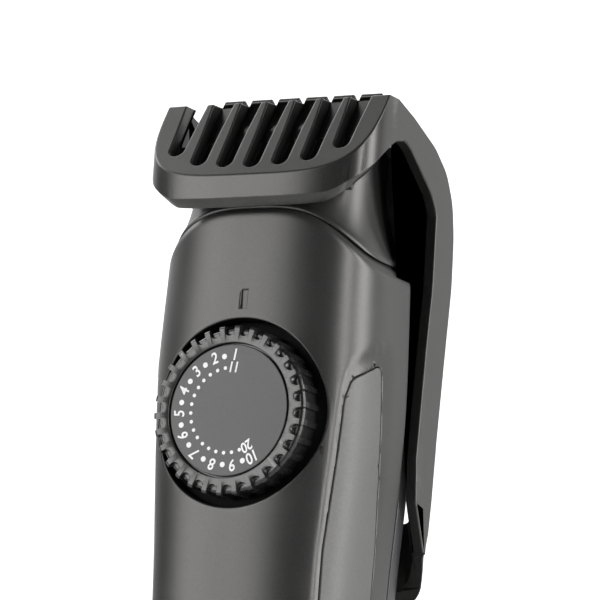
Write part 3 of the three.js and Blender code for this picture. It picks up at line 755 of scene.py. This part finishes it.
def leaning_prism(name, outline, low, high):
    # An outline (x, v) extruded out of the blade slope.
    piece = prism(name, outline, "Z", low, high)
    turn = Matrix(((1, 0, 0), (0, math.sin(LEAN), -math.cos(LEAN)), (0, math.cos(LEAN), math.sin(LEAN))))
    piece.matrix_world = Matrix.Translation((0, TIP_Y * MM, TIP_Z * MM)) @ turn.to_4x4()
    select_only(piece)
    bpy.ops.object.transform_apply()
    return piece


NECK_POINTS = 176
neck_turns = np.linspace(0, 2 * math.pi, NECK_POINTS, endpoint=False)


def form_ring(width, front, rear):
    c, s = np.cos(neck_turns), np.sin(neck_turns)
    x = width * np.sign(c) * np.abs(c) ** (2 / BODY_EXPONENT)
    y = np.where(s > 0, rear, front) * np.sign(s) * np.abs(s) ** (2 / BODY_EXPONENT)
    return np.stack([x, y], axis=1)


def flange_row(inset, lift):
    width = along(HALF_WIDTH, 144) - inset
    ring = form_ring(width, along(FRONT_DEPTH, 144) - inset, along(REAR_DEPTH, 144) - inset)
    reach = CHANNEL_X - inset
    ring[:, 0] = np.where(ring[:, 1] > SEAM_Y - 0.4, np.clip(ring[:, 0], -reach, reach), ring[:, 0])
    return [(x, y, arch(x) + lift) for x, y in ring]


def neck_row(blend, rise, z):
    # Between the flange's ring and the neck's.
    low_ring = np.array(flange_row(FLANGE_TOP_INSET, FLANGE_TOP_LIFT))
    neck = form_ring(NECK_WIDTH, NECK_FRONT, NECK_REAR)
    xy = low_ring[:, :2] * (1 - blend) + neck * blend
    heights = low_ring[:, 2] * (1 - rise) + z * rise
    return [(x, y, height) for (x, y), height in zip(xy, heights)]


FLANGE_INSET = 0.75
FLANGE_TOP_INSET = 1.15
FLANGE_TOP_LIFT = 1.3
head_rows = [[(0, 0, 140)] * NECK_POINTS, flange_row(4, 0.3), flange_row(FLANGE_INSET + 0.2, 0.3)]
head_rows += [flange_row(FLANGE_INSET, 0.42), flange_row(FLANGE_INSET, 0.8)]
head_rows += [flange_row(FLANGE_INSET + 0.12, 1.1)]
for share in np.linspace(0, 1, 14):
    head_rows.append(neck_row(1 - (1 - share) ** 2.2, share, 152.2))
head_rows.append(neck_row(1, 1, 158))
head_rows.append(neck_row(1, 1, 166))
head_rows.append([(0, 0, 166)] * NECK_POINTS)
head = wrapped("head_moulding", head_rows)
WEDGE = [(-30, 120), (-30, 150.6), (-12, 150.6), leaning(-13.2, -5.6), leaning(-3.2, -5.6),
         leaning(-1.6, -7.2), (4.5, 154.5), (8.6, 149), (11.2, 142), (30, 138), (30, 120)]
combine(head, prism("wedge_form", rounded(WEDGE, [1, 1, 1, 0.3, 0.3, 0.6, 3, 5, 4, 1, 1]), "X", -25, 25),
        "INTERSECT")
for sign in (1, -1):
    outline = [(sign * 12.4, -14.4), (sign * 15.7, -14.4), (sign * 15.5, -3.4), (sign * 12.4, -3.4)]
    combine(head, leaning_prism("end_block", outline, -6.4, -4.0), "UNION")
window = prism("drive_window", rounded([(-5.6, -9), (5.6, -9), (5.6, 0.5), (-5.6, 0.5)], [0.6] * 4),
               "Z", 146, 155.6)
combine(head, window, "DIFFERENCE")
combine(head, prism("drive_well", [(-8, -5.5), (8, -5.5), (8, 6.5), (-8, 6.5)], "Z", 130, 151.5),
        "DIFFERENCE")
soften(head, 0.2, 3)
dress(head, gunmetal, "housing", "body_paint", "head_housing")

# ---- Head back ----------------------------------------------------------------------------
# The squared back of the head, flush with the side channels and sloping down to the rear.
# Black plastic like the rear shell, moulded on to the painted neck.
back_rows = []
for z in np.linspace(134, 158, 13):
    ring = body_ring(z, 0.3, 0, 2 * math.pi, 241)[:-1]
    back_rows.append([(max(-CHANNEL_X, min(CHANNEL_X, x)), y, z) for x, y in ring])
back_rows = ([[(0, 0, 134)] * 240] + back_rows + [[(0, 0, 158)] * 240])
head_back = wrapped("head_back_moulding", back_rows)
SLOPE = [(6.4, 120), (6.4, 138), (4, 142), (2, 148), (2, 157.8), (5, 156.6), (10, 152.8), (12.6, 148.5),
         (13.4, 142), (13.6, 120)]
SLOPE_RADII = [0.3, 3, 6, 3, 0.6, 3, 8, 8, 8, 0.3]
combine(head_back, prism("back_slope", rounded(SLOPE, SLOPE_RADII), "X", -25, 25), "INTERSECT")
line = [(x, arch(x) + 0.3) for x in np.linspace(-19, 19, 77)]
combine(head_back, prism("back_foot", line + [(19, 170), (-19, 170)], "Y", -5, 30), "INTERSECT")
soften(head_back, 0.4, 3)
dress(head_back, black_plastic, "housing", "black_plastic", "head_housing")

# ---- Blades -------------------------------------------------------------------------------
# Two ground steel plates with a row of fine teeth: the fixed one faces the comb, the moving
# one slides behind it. Stamped, hardened and ground, with fine grinding lines.


def ground_steel():
    material = bpy.data.materials.new("ground_steel")
    material.use_nodes = True
    tree = material.node_tree
    shader = tree.nodes["Principled BSDF"]
    shader.inputs["Metallic"].default_value = 1
    place = group_node(tree, "ShaderNodeTexCoord").outputs["Object"]
    stretch = group_node(tree, "ShaderNodeMapping")
    stretch.inputs["Scale"].default_value = (3000, 120, 120)
    tree.links.new(place, stretch.inputs["Vector"])
    lines = noise(tree, stretch.outputs["Vector"], 1, 3)
    tone = group_node(tree, "ShaderNodeMix", data_type="RGBA")
    tone.inputs["A"].default_value = (0.78, 0.78, 0.78, 1)
    tone.inputs["B"].default_value = (0.94, 0.94, 0.93, 1)
    tree.links.new(lines, tone.inputs["Factor"])
    tree.links.new(tone.outputs["Result"], shader.inputs["Base Color"])
    gloss = group_node(tree, "ShaderNodeMapRange")
    gloss.inputs["To Min"].default_value = 0.18
    gloss.inputs["To Max"].default_value = 0.32
    tree.links.new(noise(tree, place, 700, 4), gloss.inputs["Value"])
    tree.links.new(gloss.outputs["Result"], shader.inputs["Roughness"])
    bump = group_node(tree, "ShaderNodeBump")
    bump.inputs["Strength"].default_value = 0.12
    bump.inputs["Distance"].default_value = 0.004 * MM
    tree.links.new(lines, bump.inputs["Height"])
    tree.links.new(bump.outputs["Normal"], shader.inputs["Normal"])
    return material


steel = ground_steel()
BLADE_PITCH = 1.25


def blade_outline(reach, foot, tooth, shift):
    count = round(2 * reach / BLADE_PITCH)
    points = [(reach, foot + shift)]
    for i in range(count - 1, -1, -1):
        middle = (i - (count - 1) / 2) * BLADE_PITCH
        points += [(middle + 0.5, shift - tooth), (middle + 0.3, shift - tooth * 0.35),
                   (middle + 0.16, shift - 0.12), (middle, shift), (middle - 0.16, shift - 0.12),
                   (middle - 0.3, shift - tooth * 0.35), (middle - 0.5, shift - tooth)]
    return points + [(-reach, foot + shift)]


fixed_blade = leaning_prism("fixed_blade_plate", blade_outline(15, -14, 2.4, 0), -3.9, -3.2)
for sign in (1, -1):
    combine(fixed_blade, leaning_prism("screw_hole", circle(1.1, 24, sign * 13.8, -11.5), -6, 0),
            "DIFFERENCE")
soften(fixed_blade, 0.05)
dress(fixed_blade, steel, "housing", "blade_steel", "fixed_blade")
moving_blade = leaning_prism("moving_blade_plate", blade_outline(11.3, -9.5, 2, -0.7), -4.8, -4.2)
soften(moving_blade, 0.05)
dress(moving_blade, steel, "cutter", "blade_steel", "moving_blade")

# ---- Blade screws -------------------------------------------------------------------------
# Two small countersunk steel screws with cross slots at the ends of the fixed blade.
for sign, name in ((1, "blade_screw_right"), (-1, "blade_screw_left")):
    screw = leaning_prism(name + "_head", circle(1.04, 32, sign * 13.8, -11.5), -3.2, -2.97)
    x, v = sign * 13.8, -11.5
    cross = [(x - 0.55, v - 0.13), (x - 0.13, v - 0.13), (x - 0.13, v - 0.55), (x + 0.13, v - 0.55),
             (x + 0.13, v - 0.13), (x + 0.55, v - 0.13), (x + 0.55, v + 0.13), (x + 0.13, v + 0.13),
             (x + 0.13, v + 0.55), (x - 0.13, v + 0.55), (x - 0.13, v + 0.13), (x - 0.55, v + 0.13)]
    combine(screw, leaning_prism("cross_slot", cross, -3.12, -2), "DIFFERENCE")
    combine(screw, leaning_prism("screw_shank", circle(0.75, 24, x, v), -6, -3.15), "UNION")
    soften(screw, 0.04)
    dress(screw, steel, "housing", "blade_steel", name)

# ---- Comb attachment ----------------------------------------------------------------------
# The sliding comb: a rounded nose with seven slots between eight fins, a chamfered lower edge,
# and two long arms that meet in a stirrup behind the handle. One moulding in dark nylon.
comb_skin = surface(
    "comb_nylon", (0.042, 0.041, 0.04), (0.06, 0.059, 0.057), (0.26, 0.34), 0.7, 4600, 0.25,
    wear=(0.14, 0.14, 0.135))
COMB_WIDTH = 20.15
COMB_WALL = 1.9
COMB_FRONT = -16.6
COMB_SHOULDER = -6.2
TOOTH_PITCH = 4.95
TOOTH_DEPTH = 2.7
SLOT_FEET = [-14.7, -14.4, -13.8, -11.4]


def comb_plan(margin, rear, count=97):
    nose = superellipse(COMB_WIDTH - margin, COMB_SHOULDER - COMB_FRONT - margin, 4, count,
                        math.pi, 2 * math.pi, False)
    points = [(x, COMB_SHOULDER + y) for x, y in nose]
    return points + [(COMB_WIDTH - margin, rear), (margin - COMB_WIDTH, rear)]


LOWER_EDGE = [(-17.5, 145.4), (-15.9, 146.3), (-14.9, 148), (-13.1, 150.1), (-9.3, 153.4), (-6.4, 155.7),
              (-4.3, 157), (-2.1, 157.4), (0.6, 156.2)]
COMB_SIDE = [
    (-7.9, 163.5), (-4.7, 163.5), (0.8, 161.8), (8.8, 158.6), (13.3, 155.4), (16, 150.9), (17.1, 145.4),
    (17.4, 137.4), (16.3, 124.2), (15.4, 112.4), (14.9, 102.3), (14.4, 97), (13.4, 93), (12.2, 95.4),
    (9.3, 101.4), (8.6, 108.4), (9.7, 125.9), (10.6, 136), (10.4, 148.3), (8.4, 150.8), (4.5, 153.5)
] + LOWER_EDGE[::-1] + [(-17.5, 148.2)]
SIDE_RADII = [0.5, 1.2, 6, 8, 8, 10, 20, 30, 40, 40, 20, 4, 0.5, 6, 3, 6, 40, 20, 3, 5, 8,
              4, 4, 4, 4, 8, 8, 4, 2, 1, 0.5]
comb = prism("comb_moulding", comb_plan(0, 17.5), "Z", 80, 170)
combine(comb, prism("comb_side", rounded(COMB_SIDE, SIDE_RADII), "X", -25, 25), "INTERSECT")
room = prism("comb_room", comb_plan(COMB_WALL, 40), "Z", 60, 180)
ROOF = [leaning(8, -2.0), leaning(0, -2.1), leaning(-7, -TOOTH_DEPTH), leaning(-26, -TOOTH_DEPTH),
        (-30, 60), (40, 60), (40, 180)]
combine(room, prism("room_roof", ROOF, "X", -30, 30), "INTERSECT")
combine(comb, room, "DIFFERENCE")


def stirrup_plan(margin):
    reach = COMB_WIDTH - margin
    corner = 5 - margin
    points = [(-reach, 5), (reach, 5)]
    for sign, shares in ((1, range(17)), (-1, range(16, -1, -1))):
        for k in shares:
            turn = math.pi / 2 * k / 16
            points.append((sign * (reach - corner + corner * math.cos(turn)),
                           16.9 - margin - corner + corner * math.sin(turn)))
    return points


STIRRUP = [(9.9, 100.6), (12.8, 94.7), (15, 88.4), (17.5, 85), (17.5, 96.5), (15.3, 98.2), (14.2, 100.9)]
hoop = prism("stirrup", stirrup_plan(0), "Z", 80, 110)
combine(hoop, prism("stirrup_room", stirrup_plan(COMB_WALL), "Z", 79, 111), "DIFFERENCE")
combine(hoop, prism("stirrup_side", STIRRUP, "X", -25, 25), "INTERSECT")
combine(comb, hoop, "UNION")
for i in range(-3, 4):
    x, foot = i * TOOTH_PITCH, SLOT_FEET[abs(i)]
    slot = [(x + 1.9, 3), (x - 1.9, 3), (x - 1.85, 0), (x - 1.45, -7)]
    slot += [(x + 1.33 * math.cos(t), foot + 1.33 + 1.33 * math.sin(t))
             for t in np.linspace(math.pi, 2 * math.pi, 15)]
    slot += [(x + 1.45, -7), (x + 1.85, 0)]
    combine(comb, leaning_prism("tooth_slot", slot, -2.05, 5), "DIFFERENCE")
    slot = [(x + 1.94, 3.1), (x - 1.94, 3.1), (x - 1.89, 0), (x - 1.49, -7.05), (x + 1.49, -7.05),
            (x + 1.89, 0)]
    combine(comb, leaning_prism("tooth_gap", slot, -7.1, -1.93), "DIFFERENCE")
combine(comb, prism("hook_pocket", rounded([(-5.3, 13), (5.3, 13), (5.3, 16.1), (-5.3, 16.1)], [0.3] * 4),
                    "Z", 80, 90.3), "DIFFERENCE")
soften(comb, 0.28, 3, 30)
STIRRUP_INNER_CORNER = 15.3
select_only(comb)
strays = [(v.index, v.co.y) for v in comb.data.vertices if v.co.y > 17.55 * MM]
for index, y in strays:
    bpy.ops.object.mode_set(mode="EDIT")
    bpy.ops.mesh.select_mode(type="VERT")
    bpy.ops.mesh.select_all(action="DESELECT")
    bpy.ops.object.mode_set(mode="OBJECT")
    comb.data.vertices[index].select = True
    drop = STIRRUP_INNER_CORNER * MM - y
    bpy.ops.object.mode_set(mode="EDIT")
    bpy.ops.transform.translate(value=(0, drop, 0))
    bpy.ops.object.mode_set(mode="OBJECT")
dress(comb, comb_skin, "comb", "comb_gloss", "comb_attachment")

# ---- Comb lower lip -----------------------------------------------------------------------
# The chamfer under the comb's front edge, which slopes in towards the handle and runs out
# along the flanks. Part of the same moulding.
LIP_FLANK = np.linspace(-1.5, COMB_SHOULDER, 12)[:-1]


def lip_path(margin):
    reach = COMB_WIDTH - margin
    nose = comb_plan(margin, 0)[:97]
    return ([(-reach, y) for y in LIP_FLANK] + nose + [(reach, y) for y in LIP_FLANK[::-1]])


lip_edge_y = [point[0] for point in LOWER_EDGE]
lip_edge_z = [point[1] for point in LOWER_EDGE]
lip_outer = lip_path(0)
lip_rows = []
for k in range(len(lip_outer)):
    y = lip_outer[k][1]
    size = 0.12 + 0.88 * smooth_step((-2 - y) / 9)
    z = np.interp(y, lip_edge_y, lip_edge_z)
    shape = ((0.02, 0.9), (0.02, 0.12), (0.1, -0.02), (1.45 * size, -1.15 * size), (1.7, -1.15 * size),
             (1.86, -1.0 * size), (1.86, 0.9))
    lip_rows.append([(*lip_path(margin)[k], z + drop) for margin, drop in shape])
for end in (0, -1):
    middle = tuple(np.mean(np.array(lip_rows[end]), axis=0))
    lip_rows = [[middle] * 7] + lip_rows if end == 0 else lip_rows + [[middle] * 7]
lip = wrapped("comb_lip", lip_rows)
select_only(lip)
bpy.ops.object.shade_smooth_by_angle(angle=math.radians(30))
dress(lip, comb_skin, "comb", "comb_gloss")

# ---- Comb carriage ------------------------------------------------------------------------
# The rack that the dial's pinion drives, with a tongue through the back of the handle and a
# hook that holds the comb. Black nylon; its teeth and reach come from the modelled rack.
carriage = bpy.data.objects["comb_carriage"]
carriage.data.materials.clear()
carriage.data.materials.append(black_plastic)

# ---- Dial knob ----------------------------------------------------------------------------
# The length dial: a grey ring with a rolled rim, cut by thirty flutes that start in round
# pockets on the face and run down the side. Metallic paint on a moulding keyed to the shaft.
KNOB_RADIUS = (knob_high.x - knob_low.x) / 2
KNOB_FACE = knob_low.y
KNOB_BACK = -12.0
FLUTES = 30
FLUTE_HALF = 0.33
FLUTE_DEPTH = 0.42
POCKET_DEPTH = 0.75
POCKET_REACH = 0.95
RIM_ROUNDING = 0.6
LABEL_RADIUS = 10.4
DIAL_TURNED = math.radians(-2.9)
dial_paint = surface(
    "dial_paint", (0.04, 0.04, 0.04), (0.062, 0.061, 0.06), (0.22, 0.3), 0.8, 5200, 0.2,
    wear=(0.14, 0.14, 0.14))
half_shares = [0, 0.08, 0.15, 0.21, 0.26, 0.295, 0.315, 0.326, 0.334, 0.345, 0.36, 0.4, 0.45, 0.5]
shares = [-value for value in half_shares[:0:-1]] + half_shares[:-1]
knob_rows = [[] for _ in range(24)]
for i in range(FLUTES):
    for share in shares:
        turn = 2 * math.pi * (i + share) / FLUTES + DIAL_TURNED
        cut = smooth_step((FLUTE_HALF + 0.012 - abs(share)) / 0.024)
        across = min(1, abs(share) / FLUTE_HALF)
        pocket = KNOB_RADIUS - 0.72 - POCKET_REACH * math.sqrt(1 - across * across)
        edge = KNOB_RADIUS - FLUTE_DEPTH * cut
        top = KNOB_FACE + POCKET_DEPTH * cut
        profile = [
            (0, -16.4), (LABEL_RADIUS + 0.2, -16.4), (LABEL_RADIUS + 0.25, -16.5),
            (LABEL_RADIUS + 0.25, KNOB_FACE + 0.15), (LABEL_RADIUS + 0.3, KNOB_FACE + 0.04),
            (LABEL_RADIUS + 0.4, KNOB_FACE), (pocket - 0.14, KNOB_FACE), (pocket - 0.04, KNOB_FACE + 0.02 * cut),
            (pocket, KNOB_FACE + 0.1 * cut), (pocket + 0.03, top - 0.06 * cut), (pocket + 0.12, top)]
        for step in range(9):
            bend = math.pi / 2 * step / 8
            profile.append((edge - RIM_ROUNDING * (1 - math.sin(bend)), top + RIM_ROUNDING * (1 - math.cos(bend))))
        profile += [(edge, KNOB_BACK - 0.3), (edge - 0.1, KNOB_BACK - 0.1), (edge - 0.3, KNOB_BACK), (0, KNOB_BACK)]
        for row, (radius, y) in zip(knob_rows, profile):
            row.append((radius * math.cos(turn), y, DIAL.z + radius * math.sin(turn)))
knob = wrapped("dial_knob_moulding", knob_rows)
select_only(knob)
bpy.ops.object.shade_smooth_by_angle(angle=math.radians(50))
dress(knob, dial_paint, "dial", "dial_paint", "dial_knob")

# ---- Dial label ---------------------------------------------------------------------------
# A thin dark disc let into the knob, printed in white: lengths one to ten with big dots
# between them, and an inner row of small dots from eleven to twenty.
label_low, label_high = mm_box("dial_label")
LABEL_FACE = label_low.y
label_skin = surface(
    "label_film", (0.045, 0.044, 0.044), (0.06, 0.06, 0.06), (0.34, 0.42), 0.7, 5000, 0.2)
label = lathe("dial_label_disc", [
    (0, LABEL_FACE), (10.2, LABEL_FACE), (10.34, LABEL_FACE + 0.03), (10.4, LABEL_FACE + 0.12),
    (10.4, -16.55), (0, -16.55)], 0, DIAL.z, 144)
soften(label, 0.02)
dress(label, label_skin, "dial", "dial_label_print", "dial_label")
ink = surface("white_ink", (0.72, 0.72, 0.72), (0.82, 0.82, 0.82), (0.45, 0.55), 0, 6000, 0.2)
PRINT_LIFT = 0.02


def printed(piece, name):
    piece.name = name
    dress(piece, ink, "dial", "dial_label_print")


def number(text, radius, degrees, height):
    turn = math.radians(degrees) + DIAL_TURNED
    bpy.ops.object.select_all(action="DESELECT")
    bpy.ops.object.text_add()
    piece = bpy.context.object
    piece.data.body = text
    piece.data.align_x = "CENTER"
    piece.data.align_y = "CENTER"
    piece.data.size = height / 0.7 * MM
    piece.data.shear = 0.12
    piece.data.space_character = 0.92
    piece.data.offset = 0.00004
    piece.data.extrude = 0.01 * MM
    piece.data.resolution_u = 6
    bpy.ops.object.convert(target="MESH")
    piece = bpy.context.object
    middle = Vector((-radius * math.sin(turn), LABEL_FACE - PRINT_LIFT / 2, DIAL.z + radius * math.cos(turn)))
    outward = Vector((-math.sin(turn), 0, math.cos(turn)))
    aside = Vector((math.cos(turn), 0, math.sin(turn)))
    frame_ = Matrix((aside * 0.88, outward, Vector((0, -1, 0)))).transposed()
    piece.matrix_world = Matrix.Translation(middle * MM) @ frame_.to_4x4()
    select_only(piece)
    bpy.ops.object.transform_apply()
    bpy.ops.object.mode_set(mode="EDIT")
    bpy.ops.mesh.select_all(action="SELECT")
    bpy.ops.mesh.remove_doubles(threshold=1e-7)
    bpy.ops.object.mode_set(mode="OBJECT")
    printed(piece, "print_%s" % text)


def dot(radius, degrees, size, name):
    turn = math.radians(degrees) + DIAL_TURNED
    middle = (-radius * math.sin(turn), DIAL.z + radius * math.cos(turn))
    piece = prism(name, circle(size / 2, 24, *middle), "Y", LABEL_FACE - PRINT_LIFT, LABEL_FACE)
    printed(piece, name)


for k in range(10):
    number(str(k + 1), 8.7, 24 * k, 1.8)
for k in range(9):
    dot(8.58, 12 + 24 * k, 0.87, "big_dot_%d" % k)
number("11", 6.7, 0, 1.65)
number("20", 6.7, 216, 1.65)
for k in range(1, 18):
    dot(6.73, 12 * k, 0.59, "small_dot_%d" % k)

# ---- Power button -------------------------------------------------------------------------
# A round, gently dished push button below the dial. Satin plastic.
button_profile = [(0, button_low.y + 0.35), (2, button_low.y + 0.3), (4, button_low.y + 0.12)]
button_profile += [(BUTTON_RADIUS - 0.55, button_low.y), (BUTTON_RADIUS - 0.2, button_low.y + 0.08)]
button_profile += [(BUTTON_RADIUS, button_low.y + 0.4), (BUTTON_RADIUS, -12.7), (1.6, -12.6)]
button_profile += [(1.6, button_high.y), (0, button_high.y)]
button = lathe("power_button_cap", button_profile, 0, BUTTON_Z, 96)
soften(button, 0.05)
dress(button, black_plastic, "button", "black_plastic", "power_button")

# ---- Charge light -------------------------------------------------------------------------
# A small clear light pipe, domed at the face.
clear = bpy.data.materials.new("light_pipe")
clear.use_nodes = True
tree = clear.node_tree
shader = tree.nodes["Principled BSDF"]
shader.inputs["Transmission Weight"].default_value = 0.7
shader.inputs["IOR"].default_value = 1.49
cloud = group_node(tree, "ShaderNodeMix", data_type="RGBA")
cloud.inputs["A"].default_value = (0.7, 0.86, 0.74, 1)
cloud.inputs["B"].default_value = (0.85, 0.95, 0.88, 1)
place = group_node(tree, "ShaderNodeTexCoord").outputs["Object"]
tree.links.new(noise(tree, place, 900, 3), cloud.inputs["Factor"])
tree.links.new(cloud.outputs["Result"], shader.inputs["Base Color"])
haze = group_node(tree, "ShaderNodeMapRange")
haze.inputs["To Min"].default_value = 0.1
haze.inputs["To Max"].default_value = 0.25
tree.links.new(noise(tree, place, 1500, 3), haze.inputs["Value"])
tree.links.new(haze.outputs["Result"], shader.inputs["Roughness"])
lens = lathe("charge_light_lens", [
    (0, light_low.y - 0.02), (0.6, light_low.y), (1, light_low.y + 0.12), (LIGHT_RADIUS, light_low.y + 0.4),
    (LIGHT_RADIUS, light_high.y), (0, light_high.y)], 0, LIGHT_Z, 48)
soften(lens, 0.03)
dress(lens, clear, "housing", "clear_lens", "charge_light")

# ---- Housing screws -----------------------------------------------------------------------
# Four pan-head steel screws deep in the wells of the rear shell.
for number_, (screw_low, screw_high) in enumerate(screws, 1):
    x, z = (screw_low.x + screw_high.x) / 2, (screw_low.z + screw_high.z) / 2
    top = screw_high.y
    screw = lathe("housing_screw_turned_%d" % number_, [
        (0, top), (1.2, top - 0.05), (1.75, top - 0.25), (2, top - 0.6), (2, top - 1.3), (1, top - 1.4),
        (1, screw_low.y), (0, screw_low.y)], x, z, 48)
    cross = [(x - 1.2, z - 0.22), (x - 0.22, z - 0.22), (x - 0.22, z - 1.2), (x + 0.22, z - 1.2),
             (x + 0.22, z - 0.22), (x + 1.2, z - 0.22), (x + 1.2, z + 0.22), (x + 0.22, z + 0.22),
             (x + 0.22, z + 1.2), (x - 0.22, z + 1.2), (x - 0.22, z + 0.22), (x - 1.2, z + 0.22)]
    combine(screw, prism("driver_slot", cross, "Y", top - 0.7, top + 1), "DIFFERENCE")
    soften(screw, 0.05)
    dress(screw, steel, "housing", "blade_steel", "housing_screw_%d" % number_)

# ---- Parts inside -------------------------------------------------------------------------
# The drive, cell, board and frame keep their modelled shapes and get their own finishes:
# plated cans, rubber seals, spring steel, brass contacts, laminate and frame plastic.
rubber = surface("seal_rubber", (0.008, 0.008, 0.008), (0.016, 0.016, 0.016), (0.7, 0.85), 0, 2400, 0.7)
plated = surface("plated_can", (0.42, 0.42, 0.43), (0.56, 0.56, 0.57), (0.22, 0.34), 1, 1800, 0.2)
laminate = surface("board_laminate", (0.015, 0.09, 0.035), (0.03, 0.15, 0.06), (0.3, 0.45), 0, 2200, 0.5)
finishes = {
    "dial_pinion": black_plastic, "dial_seal": rubber, "detent_spring": steel, "blade_spring": steel,
    "cutter_yoke": black_plastic, "motor": plated, "motor_bracket": plated, "motor_eccentric": plated,
    "battery": plated, "battery_contact_bottom": brass, "battery_contact_top": brass,
    "circuit_board": laminate, "tact_switch": black_plastic, "charge_led": clear, "button_seal": rubber,
    "chassis": black_plastic}
for name, finish in finishes.items():
    node = bpy.data.objects[name]
    node.data.materials.clear()
    node.data.materials.append(finish)
